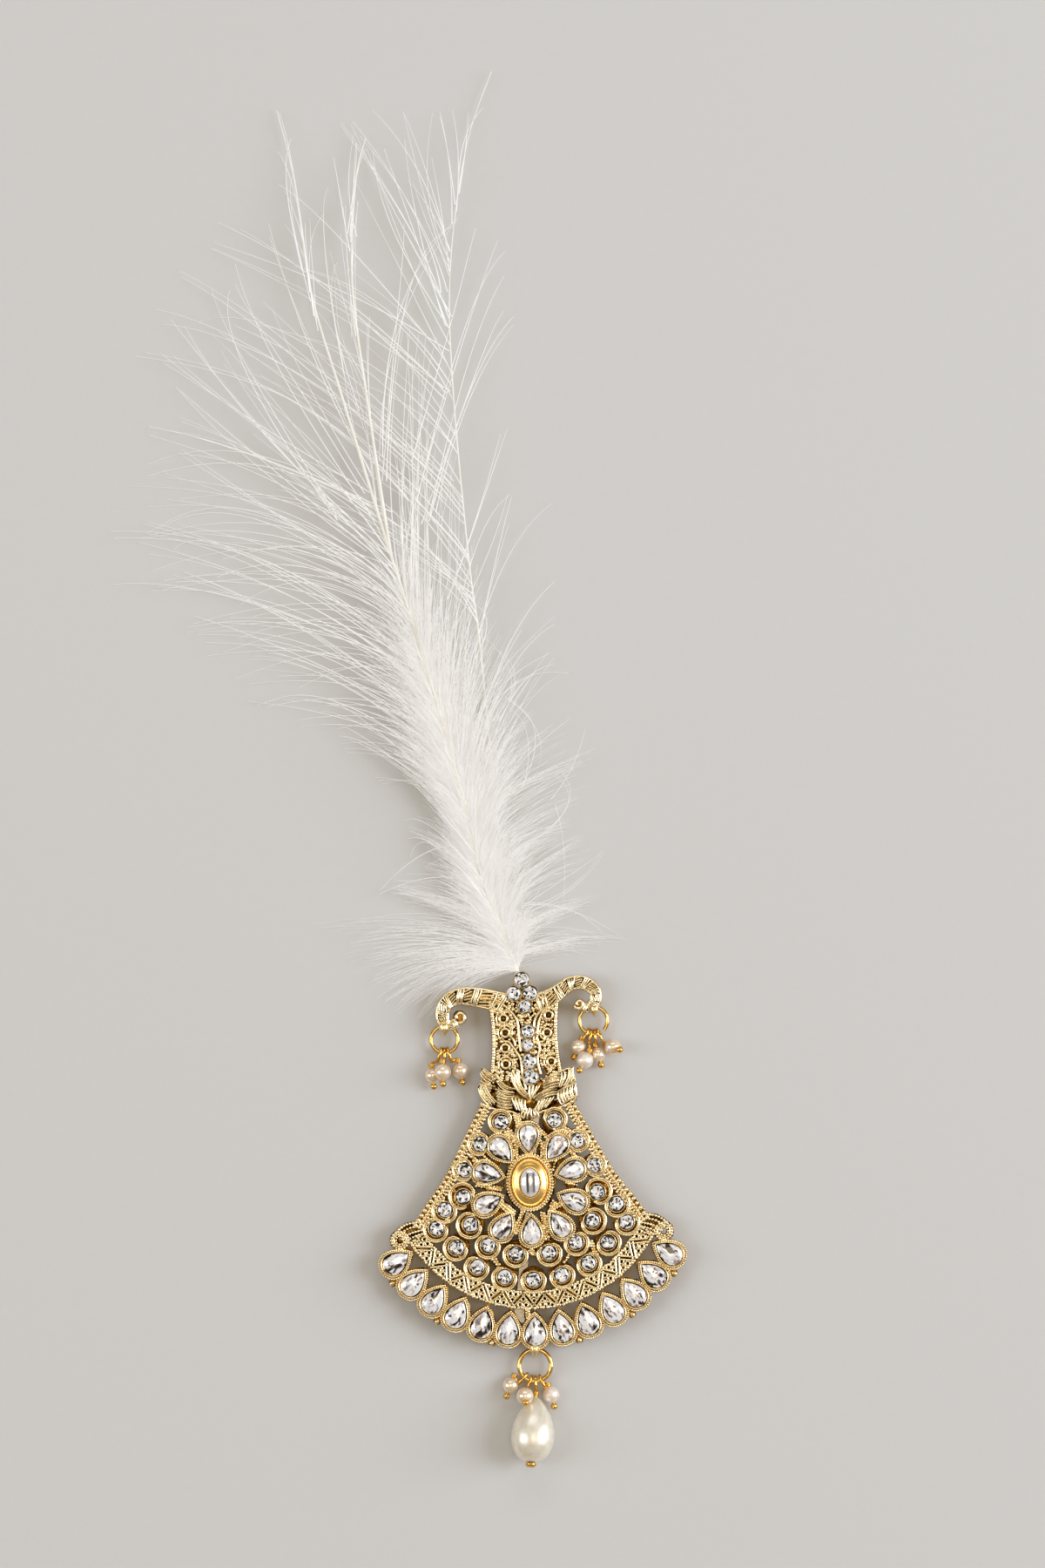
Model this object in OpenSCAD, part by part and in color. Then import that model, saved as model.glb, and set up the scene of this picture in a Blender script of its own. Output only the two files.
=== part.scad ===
// Kalgi: a gold-plated turban brooch with clear stones, pearl drops and a white feather plume.
// It lies on its back. +Z points up from the surface, +Y runs from the brooch towards the plume and
// +X points to the right as it is looked at. The origin is on the wire of the brooch pin, behind the
// centre stone. Heights in the tables below are counted from the surface that the kalgi lies on.

/* [Casting] */
// Height of the casting's back above the surface
back_h = 2.4; // [2.3:0.1:2.8]
// Thickness of the pierced plate
plate_t = 1.1; // [0.9:0.1:1.3]
// Height of the low relief above the plate
relief_t = 0.6; // [0.4:0.1:0.8]
// Height of the rim collets above the plate
rim_collet_t = 1.2; // [1:0.1:1.4]
// Height of the petal collets above the plate
petal_collet_t = 1.5; // [1.2:0.1:1.7]
// Height of the small round collets above the plate
round_collet_t = 1.0; // [0.8:0.1:1.2]

/* [Rim] */
// Height of the centre of the rim's arc above the centre stone's middle
rim_centre_y = 2.7; // [2.6:0.05:2.8]
// Radius from there to the middle of a rim collet
rim_r = 30.8; // [30.7:0.05:30.9]
// Angle from one rim stone to the next
rim_pitch = 9.45; // [9.4:0.01:9.5]
// Inner radius of the zigzag band
band_in_r = 23.5; // [23.4:0.05:23.6]
// Outer radius of the zigzag band
band_out_r = 26.9; // [26.8:0.05:27]

/* [Stones] */
// Length of a rim stone
rim_stone_l = 5.6; // [5.4:0.1:5.8]
// Width of a rim stone
rim_stone_w = 4; // [3.8:0.1:4.1]
// Length of a petal stone
petal_stone_l = 5.2; // [5:0.1:5.4]
// Width of a petal stone
petal_stone_w = 3.5; // [3.3:0.1:3.6]
// Radius of a scroll stone
scroll_stone_r = 1.5; // [1.4:0.05:1.55]
// Width of the centre stone
centre_stone_w = 3.9; // [3.7:0.1:4]
// Length of the centre stone
centre_stone_l = 5.6; // [5.4:0.1:5.7]
// Gap between a stone and its collet
stone_gap = 0.05; // [0.04:0.01:0.08]

/* [Drops] */
// Radius of the head pins' wire
head_pin_r = 0.22; // [0.2:0.01:0.23]
// Radius of the hole through a pearl
pearl_bore_r = 0.32; // [0.3:0.01:0.36]
// Length of the big drop pearl
drop_l = 13; // [12.6:0.1:13.2]
// Greatest radius of the big drop pearl
drop_r = 4.15; // [4:0.05:4.2]

/* [Brooch pin] */
// Radius of the brooch pin's wire
brooch_r = 0.6; // [0.5:0.05:0.6]
// Lean of the brooch pin from the jewel's axis
brooch_lean = 6.4; // [6:0.1:7]

/* [Plume] */
// Radius of the quill where it goes into its tube
quill_r = 0.75; // [0.7:0.01:0.78]
// Thickness of a lock of barbs
lock_t = 0.7; // [0.6:0.05:0.8]
// Widest half-width of a lock of barbs
lock_w = 1.1; // [0.9:0.1:1.3]

/* [Hidden] */
gold = [0.86, 0.72, 0.42];
deep_gold = [0.87, 0.62, 0.22];
clear = [0.88, 0.9, 0.92];
pearl_white = [0.94, 0.89, 0.82];
steel = [0.72, 0.72, 0.72];
feather_white = [0.96, 0.96, 0.94];

plate_top = back_h + plate_t;
// The pockets of the stones are cut this far into the plate
pocket_d = 0.1;
seat_h = plate_top - pocket_d + stone_gap;
ring_wall_t = 1.4;
// Overlap that joins plan shapes that only touch
join_w = 0.02;
// Each higher layer starts this far inside the one below, and stands this far in from its edge
layer_bite = 0.1;
draft_w = 0.1;
// The low relief stays this far from holes and collets
clear_w = 0.15;

petal_count = 10;
rim_count = 13;
rim_half = (rim_count - 1) / 2;
pear_point = 0.8;
stone_sides = 10;
rim_stone_shift = -0.3;
// Half of the angle that the zigzag band's relief runs over
band_reach = 58;
// Half of the angle that the plate under the band runs over
plate_reach = 60;
zigzag_w = 0.5;
band_edge_w = 0.5;
neck_slot = [3.1, 20.6];
neck_slot_w = 1.3;
neck_slot_l = 3.6;
neck_slot_turn = 8;
// Oval plate under the cup, and the oval wall round it
cup_plate_w = 9.8;
cup_plate_l = 11.6;
ring_wall_w = 8.3;
ring_wall_l = 10.4;
cup_seat_w = 7;
cup_seat_l = 9.2;
// How far the plate and the collets stand out round the stones
petal_plate_w = 0.7;
petal_collet_w = 0.6;
rim_plate_w = 0.9;
rim_collet_w = 0.5;
round_collet_w = 0.45;
gem_collet_w = 0.22;
gem_plate_w = 0.3;
// Webs between the petals: radius, and distance from the middle as a part of two petals' sum
web_r = 0.95;
web_part = 0.47;
// Part of a stone's width that its table takes
table_part = 0.62;
stone_girdle_t = 0.65;
petal_table_t = 1;
rim_table_t = 0.8;
round_table_t = 0.6;

cup_w = 6.8;
cup_l = 9;
cup_flange_t = 0.5;
cup_step_w = 0.4;
cup_h = 2.65;
cup_lip_t = 0.3;
cup_lip_w = 5;
cup_lip_l = 7;
cup_floor_t = 1.35;
centre_girdle_t = 0.75;
centre_table_t = 0.95;

// Petals, from the top one down the right side to the bottom one: distance from the middle, bearing
petals = [[8.4, 0], [8.25, 39], [8.14, 76], [8.86, 114.7], [9.8, 147], [9.26, 180]];

// Round stones of the right side: x, y, radius of the scroll ring, bearing of the ring's opening
side_scrolls = [
    [5.08, 11.67, 2.5, 225],
    [9.24, 7.62, 2.4, 190],
    [12.35, 2.78, 2.35, 180],
    [12.83, -2.34, 2.8, 215],
    [16.4, -4.7, 2.6, 120],
    [18.15, -8.2, 2.6, 130],
    [11.6, -7.7, 2.75, 150],
    [14.43, -11.96, 2.6, 140],
    [8.36, -11.76, 2.6, 120],
    [10.6, -15.8, 2.6, 125],
    [5.44, -17.9, 2.6, 115],
    [3.15, -13.57, 2.6, 110]
];
middle_scroll = [0, -18.6, 2.6, 90];
crescent_shift = 0.35;
crescent_w = 0.5;

// Stones of the neck: x, y, radius
neck_gems = [
    [-0.2, 38.7, 1.4],
    [-1.87, 36.15, 1.35],
    [1.38, 36.15, 1.35],
    [0.15, 33.55, 1.25],
    [0.6, 28.8, 1.25],
    [0.5, 26.2, 1.1],
    [0.75, 23.15, 1.35],
    [0.8, 20.1, 1.45]
];

// Outer edge of the right side, from the leaf collar to the corner: x, y, half-width of the strip
side_edge = [
    [7.9, 14.8, 1],
    [11.3, 8.4, 1],
    [15.2, 1.1, 1.05],
    [18.9, -4, 1.1],
    [21.4, -7.9, 1.3]
];
// Corner volute: x, y, half-width
corner_path = [[20.6, -7.9, 1.4], [23.4, -8.5, 1.7], [25, -9.6, 1.6]];
corner_eye = [25.2, -10.2];
corner_r = 2;
corner_hole_r = 0.55;
corner_relief_r = 1.6;
corner_relief_part = 0.6;
// Raised lines along the side strips: part of the strip's width, shift from its middle
strip_lines = [[0.32, 0.55], [0.2, -0.6]];

// Horns, from the neck to the curl: x, y, half-width
left_horn = [
    [-3.6, 34.4, 1.9],
    [-7.6, 35.4, 1.95],
    [-10.2, 35.9, 1.8],
    [-12.6, 35.9, 1.55],
    [-14.6, 34.9, 1.45],
    [-15.5, 33.1, 1.3],
    [-15.4, 31.3, 1.15],
    [-14.2, 30.5, 0.95],
    [-12.8, 30.9, 0.75]
];
left_curl = [-12.3, 32, 1.3];
right_horn = [
    [2.6, 34, 1.9],
    [5.4, 35.2, 1.7],
    [7.3, 36.5, 1.45],
    [9, 37.6, 1.35],
    [11, 37.85, 1.3],
    [12.8, 37.1, 1.25],
    [13.8, 35.7, 1.1],
    [13.7, 34.1, 1],
    [12.6, 33, 0.8],
    [11.3, 32.9, 0.6]
];
right_curl = [10.6, 33.6, 0.9];
curl_relief_part = 0.6;
horn_rib_count = 15;
horn_rib_turn = 70;
horn_rib_w = 0.4;

neck_half_w = 6.25;
neck_flare = 0.7;
neck_low_y = 20.5;
neck_high_y = 35.6;
neck_border_w = 0.75;
neck_border_y = 35.2;
// Ringlets of the neck: x, y
ringlets = [
    [-3.96, 31.4], [-3.7, 28.7], [-3.8, 25.75], [-3.8, 22.7],
    [4.7, 31.8], [4.3, 28.45], [3.07, 27.5], [4.9, 22.9]
];
leaf_point = 0.9;
ringlet_r = 1.05;
ringlet_hole_r = 0.45;

// Half of the leaf collar's outline, from its low tip round the wing to the neck
collar_right = [
    [0.7, 11.9], [3, 13.2], [6.4, 13.9], [9.5, 15.4], [9.6, 18.3], [8.6, 19.4], [8.9, 21.8], [6, 21]
];
collar_left = [[-6, 21.2], [-8.5, 22.1], [-8.4, 20], [-9.3, 18.4], [-8, 16], [-6, 14.2], [-2.6, 13.4]];
// Leaves of the collar: x and y of the middle, length, width, bearing of the tip
leaves = [
    [4.9, 19, 8.6, 3, 68],
    [4.6, 15.9, 10.2, 3, 76],
    [-4.7, 19.4, 8.2, 3.2, -66],
    [-4.6, 16.2, 9.6, 3, -76],
    [0.3, 14.6, 6, 3, 178]
];

ring_wire_r = 0.375;
ring_h = 1.7;
// Jump rings: x, y, radius to the middle of the wire, radius of the wire
left_ring = [-15.35, 27.8, 2.575, ring_wire_r];
right_ring = [13.26, 30.4, 2.675, ring_wire_r];
bottom_ring = [-0.26, -35.1, 3.05, 0.45];
right_ring_gap = 14;
right_ring_gap_at = -52;

eye_wire_r = 0.3;
eye_clear = 0.25;
lug_ball_r = 0.75;
lug_h = 3;
lug_r = 34.2;
lug_steps = [1.5, 3.5, 5.5];
lug_bar_w = 1.1;
lug_bar_l = 2.8;
// Lugs over the rings: x, y, length, width
ring_lugs = [[-15.35, 30, 3.2, 2], [13.5, 32.5, 2.8, 1.6], [-0.26, -32, 3.2, 1.8]];

// Small pearls: bearing of the pin's loop on the ring, then x, y, height and radius of the pearl,
// then bearing and rise of the pin's ball end
left_pearls = [
    [250, -17.9, 21, 1.5, 1.5, -86, 0],
    [268, -15.9, 21.6, 3.9, 1.6, -91, 8],
    [286, -12.55, 21.7, 1.6, 1.6, -81, 0]
];
right_pearls = [
    [240, 10.2, 25.4, 1.45, 1.45, -114, 0],
    [257, 11.3, 22.9, 3.1, 1.65, -120, 18],
    [274, 13.9, 23.85, 1.45, 1.45, -76, 0],
    [291, 16.75, 25.2, 2.5, 1.6, -20, 52]
];
bottom_pearls = [
    [225, -5.1, -38.8, 1.55, 1.55, -112, 0],
    [250, -2.4, -40.7, 5.4, 1.65, -85, 60],
    [292, 2.55, -40.85, 1.65, 1.65, -76, 0]
];
ball_r = 0.66;
// Distance from a pearl's surface to the middle of its pin's ball
ball_off = 0.62;
joint_r = 0.27;
wrap_r = 0.52;
wrap_l = 0.6;
wrap_off = 0.15;
loop_clear = 0.15;

drop_tip = [-0.4, -40.9, 2.66];
drop_bearing = -96;
drop_rise = 12;
drop_point = 0.5;
drop_loop_at = 270;
drop_steps = 24;
cap_r = 1.05;
cap_t = 0.8;

brooch_low = -27;
brooch_high = 15;
brooch_bar_w = 1.6;
brooch_bar_t = 0.6;
brooch_block_w = 2;
brooch_block_l = 2.4;
// How far the bar stands in from the wire's ends, and the blocks from the bar's faces
brooch_inset = 0.1;

plume_tube_r = 1.15;
plume_bore_r = 0.85;
plume_tube_l = 9;
plume_h = 1.35;
plume_lean = 14.9;
plume_mouth = [-0.45, 38.2];

// Feather shafts, from the quill to the tip: x, y, height, radius
shaft_main = [
    [-0.93, 40, 1.35, 0.75],
    [-3.4, 47.9, 2.2, 0.7],
    [-7, 57.9, 3.2, 0.65],
    [-9, 69.1, 4.2, 0.6],
    [-13.7, 88.8, 5, 0.6],
    [-18.4, 107.1, 5.2, 0.6],
    [-22.3, 120.8, 5, 0.6]
];
shaft_left = [
    [-22.3, 120.8, 5, 0.6],
    [-30.4, 150.8, 4.2, 0.5],
    [-35.8, 171.8, 3.2, 0.45],
    [-38.2, 192.9, 2, 0.4],
    [-41.1, 206.5, 1.2, 0.4]
];
shaft_middle = [
    [-22.3, 120.8, 5, 0.6],
    [-25.6, 149.3, 5, 0.5],
    [-27.8, 172.9, 4, 0.45],
    [-26.5, 192, 2.6, 0.4],
    [-24.3, 200.5, 1.6, 0.4]
];
shaft_right = [
    [-0.93, 40, 1.35, 0.7],
    [-3, 60, 4.6, 0.5],
    [-4.5, 80, 6, 0.5],
    [-5.9, 103.2, 6, 0.5],
    [-7.5, 120.3, 5.6, 0.45],
    [-9.3, 152.3, 4, 0.45],
    [-9, 175, 3, 0.4],
    [-5.2, 198, 1.8, 0.4],
    [0.2, 212.5, 1, 0.4]
];
// Core of the down round the quill: x, y, half-width, height, half-thickness
down_core = [
    [-1.6, 42, 1.4, 1.7, 1.2],
    [-3, 50, 4.6, 3, 2.4],
    [-5, 59.6, 5.6, 3.8, 3],
    [-7.8, 73.1, 6.2, 4.2, 3.2],
    [-10.6, 84, 8.2, 4.3, 3],
    [-13, 94, 9, 4.3, 2.4],
    [-15.2, 104, 7, 4.6, 1.4],
    [-17.6, 113, 3, 4.9, 0.8]
];

// Lines of the tips of the barbs, from the lowest lock to the highest: x, y, height
left_low_tips = [[-30, 42.5, 0.8], [-33, 46.5, 0.8], [-27, 54, 1], [-21, 62.7, 1.2], [-23, 70, 1.2]];
left_mid_tips = [[-25, 74, 0.8], [-31.8, 84, 0.8], [-43.2, 91.9, 0.8], [-48, 95, 1]];
left_wide_tips = [[-51, 101.3, 0.8], [-60.1, 108, 0.8], [-72, 122, 0.6], [-75.2, 128.9, 0.8]];
left_high_tips = [[-67.8, 127, 1.6], [-74, 138.7, 0.8], [-68, 149, 1], [-65.6, 163, 1], [-57, 168, 1.4]];
left_top_tips = [[-52.6, 178, 1.2], [-45, 183.6, 1], [-42.5, 196, 1]];
middle_tips = [[-29, 189, 2.4], [-20.5, 195, 2]];
far_tips = [[-61, 176.4, 0.8], [-54, 185, 0.8], [-42, 192, 1], [-28.3, 203.4, 1], [-17.4, 206.5, 1]];
far_top_tips = [[-10.6, 209, 1], [-4.7, 210.1, 1]];
right_tips = [[11.3, 99.1, 1], [11.8, 114, 1], [9.9, 129, 1], [1.7, 138, 2], [11.5, 174, 0.8]];
right_top_tips = [[4.6, 167, 1], [0.7, 176, 1.2], [-1.2, 190, 1.2]];
right_low_tips = [
    [9, 41, 0.8], [16.9, 47.2, 0.6], [8.5, 52, 1], [15.8, 63, 0.8],
    [12, 71, 1], [16.5, 80.5, 0.8], [11, 92, 1]
];
// Vanes of locks: shaft, first and last root on it, turn of the barbs from the shaft at their roots,
// number of locks, line of their tips
vanes = [
    [shaft_main, 0.6, 2.4, 38, 6, left_low_tips],
    [shaft_main, 2.2, 3.5, 30, 5, left_mid_tips],
    [shaft_main, 3.5, 4.7, 26, 7, left_wide_tips],
    [shaft_main, 4.7, 5.9, 24, 7, left_high_tips],
    [shaft_left, 0.2, 1.8, 16, 4, left_top_tips],
    [shaft_middle, 0.9, 2.6, 4, 3, middle_tips],
    [shaft_right, 3.4, 5.6, 30, 7, far_tips],
    [shaft_right, 5.8, 6.6, 10, 2, far_top_tips],
    [shaft_right, 1.8, 4.4, -24, 5, right_tips],
    [shaft_right, 4.3, 5.5, -16, 3, right_top_tips],
    [shaft_main, 0.5, 3.6, -42, 8, right_low_tips]
];
lock_steps = 4;
lock_sides = 6;
down_sides = 10;
// Thickness of the down's edge, and width of its ridge, as parts of the whole
down_edge_part = 0.3;
down_ridge_part = 0.6;
// How far a barb runs straight from the shaft before it bends, as a part of its reach
lock_bend = 0.5;
// Width of a lock's ends as a part of its middle's
lock_end_part = 0.45;
// Length of the quill inside its tube
quill_in = 6;

function stone_name(stem, i) = str(stem, i < 10 ? "0" : "", i);
function polar(r, bearing) = [r * cos(bearing), r * sin(bearing)];
function from_top(r, bearing) = [r * sin(bearing), r * cos(bearing)];
function unit(v) = v / norm(v);
function flat(v) = [v[0], v[1]];
function spot(v) = [v[0], v[1], v[2]];
function aim(bearing, rise) = [cos(rise) * cos(bearing), cos(rise) * sin(bearing), sin(rise)];

// Smooth curve through the rows of a table, at t rows from the first
function row(table, i) = table[max(0, min(len(table) - 1, i))];
function curve(table, t) =
    let (i = min(floor(t), len(table) - 2), u = t - i)
    let (a = row(table, i - 1), b = row(table, i), c = row(table, i + 1), d = row(table, i + 2))
    0.5 * (2 * b + (c - a) * u + (2 * a - 5 * b + 4 * c - d) * u * u + (3 * b - a - 3 * c + d) * u * u * u);
function heading(table, t) = unit(flat(curve(table, t + 0.05) - curve(table, t - 0.05)));
function left_of(v) = [-v[1], v[0]];
function turned(v, a) = [v[0] * cos(a) - v[1] * sin(a), v[0] * sin(a) + v[1] * cos(a)];

// Outline of a band along a table of x, y, half-width; shift moves it sideways and part narrows it
function band_side(table, side, part, shift, steps) = [
    for (k = [0:steps])
        let (t = (len(table) - 1) * (side > 0 ? k : steps - k) / steps, p = curve(table, t))
        flat(p) + left_of(heading(table, t)) * (shift + side * part * p[2])
];
function band_outline(table, part = 1, shift = 0, steps = 16) =
    concat(band_side(table, 1, part, shift, steps), band_side(table, -1, part, shift, steps));

// Pear outline with its tip towards +Y
function pear_wave(u, point) = sin(u) * pow(abs(sin(u / 2)), point);
function pear_peak(point) = pear_wave(2 * atan(sqrt(1 + point)), point);
function pear(length, width, point = pear_point, n = 20, phase = 0) = [
    for (k = [0:n - 1])
        let (u = 360 * (k + phase) / n)
        [width / 2 * pear_wave(u, point) / pear_peak(point), length / 2 * cos(u)]
];
function oval(width, length, n, phase = 0) = [
    for (k = [0:n - 1]) [width / 2 * cos(360 * (k + phase) / n), length / 2 * sin(360 * (k + phase) / n)]
];
function sector(r1, r2, from, to, steps = 22) = concat(
    [for (k = [0:steps]) polar(r1, from + (to - from) * k / steps)],
    [for (k = [steps:-1:0]) polar(r2, from + (to - from) * k / steps)]
);

// Every round stone of the scrolls, both sides
scrolls = concat(
    side_scrolls,
    [for (s = side_scrolls) [-s[0], s[1], s[2], 180 - s[3]]],
    [middle_scroll]
);
petal_ring = concat(petals, [for (i = [4:-1:1]) [petals[i][0], -petals[i][1]]]);

// Lowers a piece from its height above the surface to the frame
module lay() translate([0, 0, -brooch_r]) children();

module rod(p, q, r) {
    v = q - p;
    translate(p)
        rotate([0, acos(v[2] / norm(v)), atan2(v[1], v[0])])
            cylinder(r = r, h = norm(v), $fn = 24);
}
module pointed(p, bearing, rise) translate(p) rotate([0, 90 - rise, bearing]) children();

module at_petal(i) {
    p = petal_ring[i];
    translate(from_top(p[0], p[1])) rotate(180 - p[1]) children();
}
module at_rim(step, r = rim_r) {
    a = step * rim_pitch;
    translate([0, rim_centre_y]) rotate(a) translate([0, -r]) children();
}
module both_sides() {
    children();
    mirror([1, 0]) children();
}

// Plan shapes of the casting

module pear_plan(length, width, grow = 0) polygon(pear(length + 2 * grow, width + 2 * grow, n = stone_sides));
module petal_plans(grow) {
    for (i = [0:petal_count - 1]) at_petal(i) pear_plan(petal_stone_l, petal_stone_w, grow);
}
module rim_plans(grow) {
    for (k = [-rim_half:rim_half])
        at_rim(k) translate([0, rim_stone_shift]) pear_plan(rim_stone_l, rim_stone_w, grow);
}

module zigzag_band() {
    mid_r = (band_in_r + band_out_r) / 2;
    swing = (band_out_r - band_in_r) / 2 - band_edge_w - zigzag_w / 2;
    turns = floor(band_reach / rim_pitch * 2);
    path = [
        for (k = [-turns:turns])
            concat(polar(mid_r + (k % 2 == 0 ? swing : -swing), -90 + k * rim_pitch / 2), zigzag_w / 2)
    ];
    translate([0, rim_centre_y]) {
        polygon(sector(band_in_r + draft_w, band_in_r + band_edge_w, -90 - band_reach, -90 + band_reach));
        polygon(sector(band_out_r - band_edge_w, band_out_r - draft_w, -90 - band_reach, -90 + band_reach));
        for (k = [0:len(path) - 2]) polygon(band_outline([path[k], path[k + 1]], steps = 1));
    }
}
module neck_plan(inset = 0) {
    steps = 6;
    side = [
        for (k = [0:steps])
            let (u = k / steps, half_w = neck_half_w + neck_flare * pow(2 * u - 1, 2))
            [half_w - inset, neck_low_y + (neck_high_y - neck_low_y) * u]
    ];
    polygon(concat(side, [for (k = [steps:-1:0]) [-side[k][0], side[k][1]]]));
}
module neck_slot_plan(grow) {
    translate(neck_slot) rotate(neck_slot_turn)
        polygon(oval(neck_slot_w + 2 * grow, neck_slot_l + 2 * grow, 8));
}
module leaf_shapes(grow) {
    for (l = leaves)
        translate(flat(l)) rotate(-l[4]) polygon(pear(l[2] + grow, l[3] + grow, leaf_point, stone_sides));
}
module horn(table, curl) {
    polygon(band_outline(table, steps = 14));
    translate(flat(curl)) circle(r = curl[2], $fn = 12);
}
module side_strip() {
    both_sides() {
        polygon(band_outline(side_edge, steps = 6));
        polygon(band_outline(corner_path, steps = 4));
        translate(corner_eye) circle(r = corner_r, $fn = 12);
    }
}

module plate_plan() {
    difference() {
        offset(delta = join_w) {
            polygon(oval(cup_plate_w, cup_plate_l, 16));
            petal_plans(petal_plate_w);
            for (i = [0:petal_count - 1]) {
                p = petal_ring[i];
                q = petal_ring[(i + 1) % petal_count];
                translate((from_top(p[0], p[1]) + from_top(q[0], q[1])) * web_part)
                    circle(r = web_r, $fn = 6);
            }
            for (s = scrolls) translate(flat(s)) circle(r = s[2], $fn = 16);
            translate([0, rim_centre_y])
                polygon(sector(band_in_r, band_out_r, -90 - plate_reach, -90 + plate_reach));
            for (k = [-rim_half:rim_half]) at_rim(k) pear_plan(rim_stone_l, rim_stone_w, rim_plate_w);
            for (k = lug_steps) for (side = [-1, 1])
                at_rim(side * k, lug_r - lug_bar_l / 2) square([lug_bar_w, lug_bar_l], center = true);
            side_strip();
            polygon(concat(collar_right, collar_left));
            neck_plan();
            horn(left_horn, left_curl);
            horn(right_horn, right_curl);
            for (g = neck_gems) translate(flat(g)) circle(r = g[2] + gem_plate_w, $fn = 16);
            for (l = ring_lugs)
                translate(flat(l)) rotate(180) polygon(pear(l[2], l[3], pear_point, stone_sides));
        }
        for (g = ringlets) translate(g) circle(r = ringlet_hole_r, $fn = 8);
        translate(corner_eye) circle(r = corner_hole_r, $fn = 8);
        neck_slot_plan(0);
    }
}
// Low relief: zigzag band, edges of the side strips, leaves, neck border, ringlets and horn ribs
module relief_plan() {
    difference() {
        offset(delta = join_w) {
            zigzag_band();
            both_sides() {
                for (l = strip_lines) polygon(band_outline(side_edge, l[0], l[1], 6));
                translate(corner_eye) circle(r = corner_relief_r, $fn = 8);
                polygon(band_outline(corner_path, corner_relief_part, steps = 4));
            }
            intersection() {
                leaf_shapes(-2 * clear_w);
                offset(delta = -clear_w) polygon(concat(collar_right, collar_left));
            }
            difference() {
                neck_plan(draft_w);
                neck_plan(neck_border_w);
                translate([-neck_half_w - 2, neck_border_y]) square([2 * neck_half_w + 4, 2]);
                offset(delta = clear_w) polygon(concat(collar_right, collar_left));
            }
            for (g = ringlets) translate(g) circle(r = ringlet_r, $fn = 8);
            horn_ribs(left_horn);
            horn_ribs(right_horn);
            for (c = [left_curl, right_curl]) translate(flat(c)) circle(r = c[2] * curl_relief_part, $fn = 8);
        }
        for (g = ringlets) translate(g) circle(r = ringlet_hole_r + clear_w, $fn = 8);
        translate(corner_eye) circle(r = corner_hole_r + clear_w, $fn = 8);
        neck_slot_plan(clear_w);
        petal_plans(petal_collet_w + draft_w);
        rim_plans(rim_collet_w + draft_w);
        for (s = scrolls) translate(flat(s)) circle(r = s[2] + draft_w, $fn = 12);
        for (g = neck_gems) translate(flat(g)) circle(r = g[2] + gem_collet_w + draft_w, $fn = 12);
    }
}
module horn_ribs(table) {
    for (k = [2:horn_rib_count - 1]) {
        t = (len(table) - 1) * k / horn_rib_count;
        p = curve(table, t);
        h = heading(table, t);
        translate(flat(p)) rotate(atan2(h[1], h[0]) + horn_rib_turn)
            square([2 * (p[2] - clear_w), horn_rib_w], center = true);
    }
}

// Raised shape on the plate, and a pocket cut down into it
module raised(height) {
    translate([0, 0, plate_top - layer_bite]) linear_extrude(height + layer_bite) children();
}
module pocket() {
    translate([0, 0, plate_top - pocket_d]) linear_extrude(back_h + plate_t) children();
}

// Ring that curls round a scroll stone, open on one side
module crescent(s) {
    difference() {
        circle(r = s[2] - draft_w, $fn = 32);
        translate(polar(crescent_shift, s[3])) circle(r = s[2] - crescent_w, $fn = 32);
    }
}
module casting_metal() {
    translate([0, 0, back_h]) linear_extrude(plate_t) plate_plan();
    raised(relief_t) relief_plan();
    for (s = scrolls) translate(flat(s)) {
        raised(relief_t) crescent(s);
        raised(round_collet_t) circle(r = scroll_stone_r + round_collet_w, $fn = 32);
    }
    for (g = neck_gems) translate(flat(g)) raised(round_collet_t) circle(r = g[2] + gem_collet_w, $fn = 32);
    raised(petal_collet_t) offset(delta = join_w) petal_plans(petal_collet_w);
    raised(rim_collet_t) offset(delta = join_w) rim_plans(rim_collet_w);
    raised(ring_wall_t) polygon(oval(ring_wall_w, ring_wall_l, 32));
    for (k = lug_steps) for (side = [-1, 1])
        at_rim(side * k, lug_r) translate([0, 0, lug_h]) sphere(r = lug_ball_r, $fn = 24);
    for (ring = [left_ring, right_ring, bottom_ring]) ring_eye(ring);
    plume_tube();
}
module casting_pockets() {
    for (s = scrolls) translate(flat(s)) pocket() circle(r = scroll_stone_r + stone_gap, $fn = 32);
    for (g = neck_gems) translate(flat(g)) pocket() circle(r = g[2] + stone_gap, $fn = 32);
    pocket() offset(delta = join_w) petal_plans(stone_gap);
    pocket() offset(delta = join_w) rim_plans(stone_gap);
    pocket() polygon(oval(cup_seat_w, cup_seat_l, 32));
}
module casting() {
    color(gold) lay() difference() {
        casting_metal();
        casting_pockets();
    }
}

// Eye under a lug that a jump ring hangs in
module ring_eye(ring) {
    r = ring[3] + eye_clear + eye_wire_r;
    translate([ring[0], ring[1] + ring[2], ring_h])
        rotate([0, 90, 0]) rotate_extrude($fn = 32) translate([r, 0]) circle(r = eye_wire_r, $fn = 16);
}
module plume_tube() {
    pointed([plume_mouth[0], plume_mouth[1], plume_h], 90 + plume_lean, 0)
        translate([0, 0, -plume_tube_l]) difference() {
            cylinder(r = plume_tube_r, h = plume_tube_l, $fn = 32);
            translate([0, 0, -1]) cylinder(r = plume_bore_r, h = plume_tube_l + 2, $fn = 32);
        }
}

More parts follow.
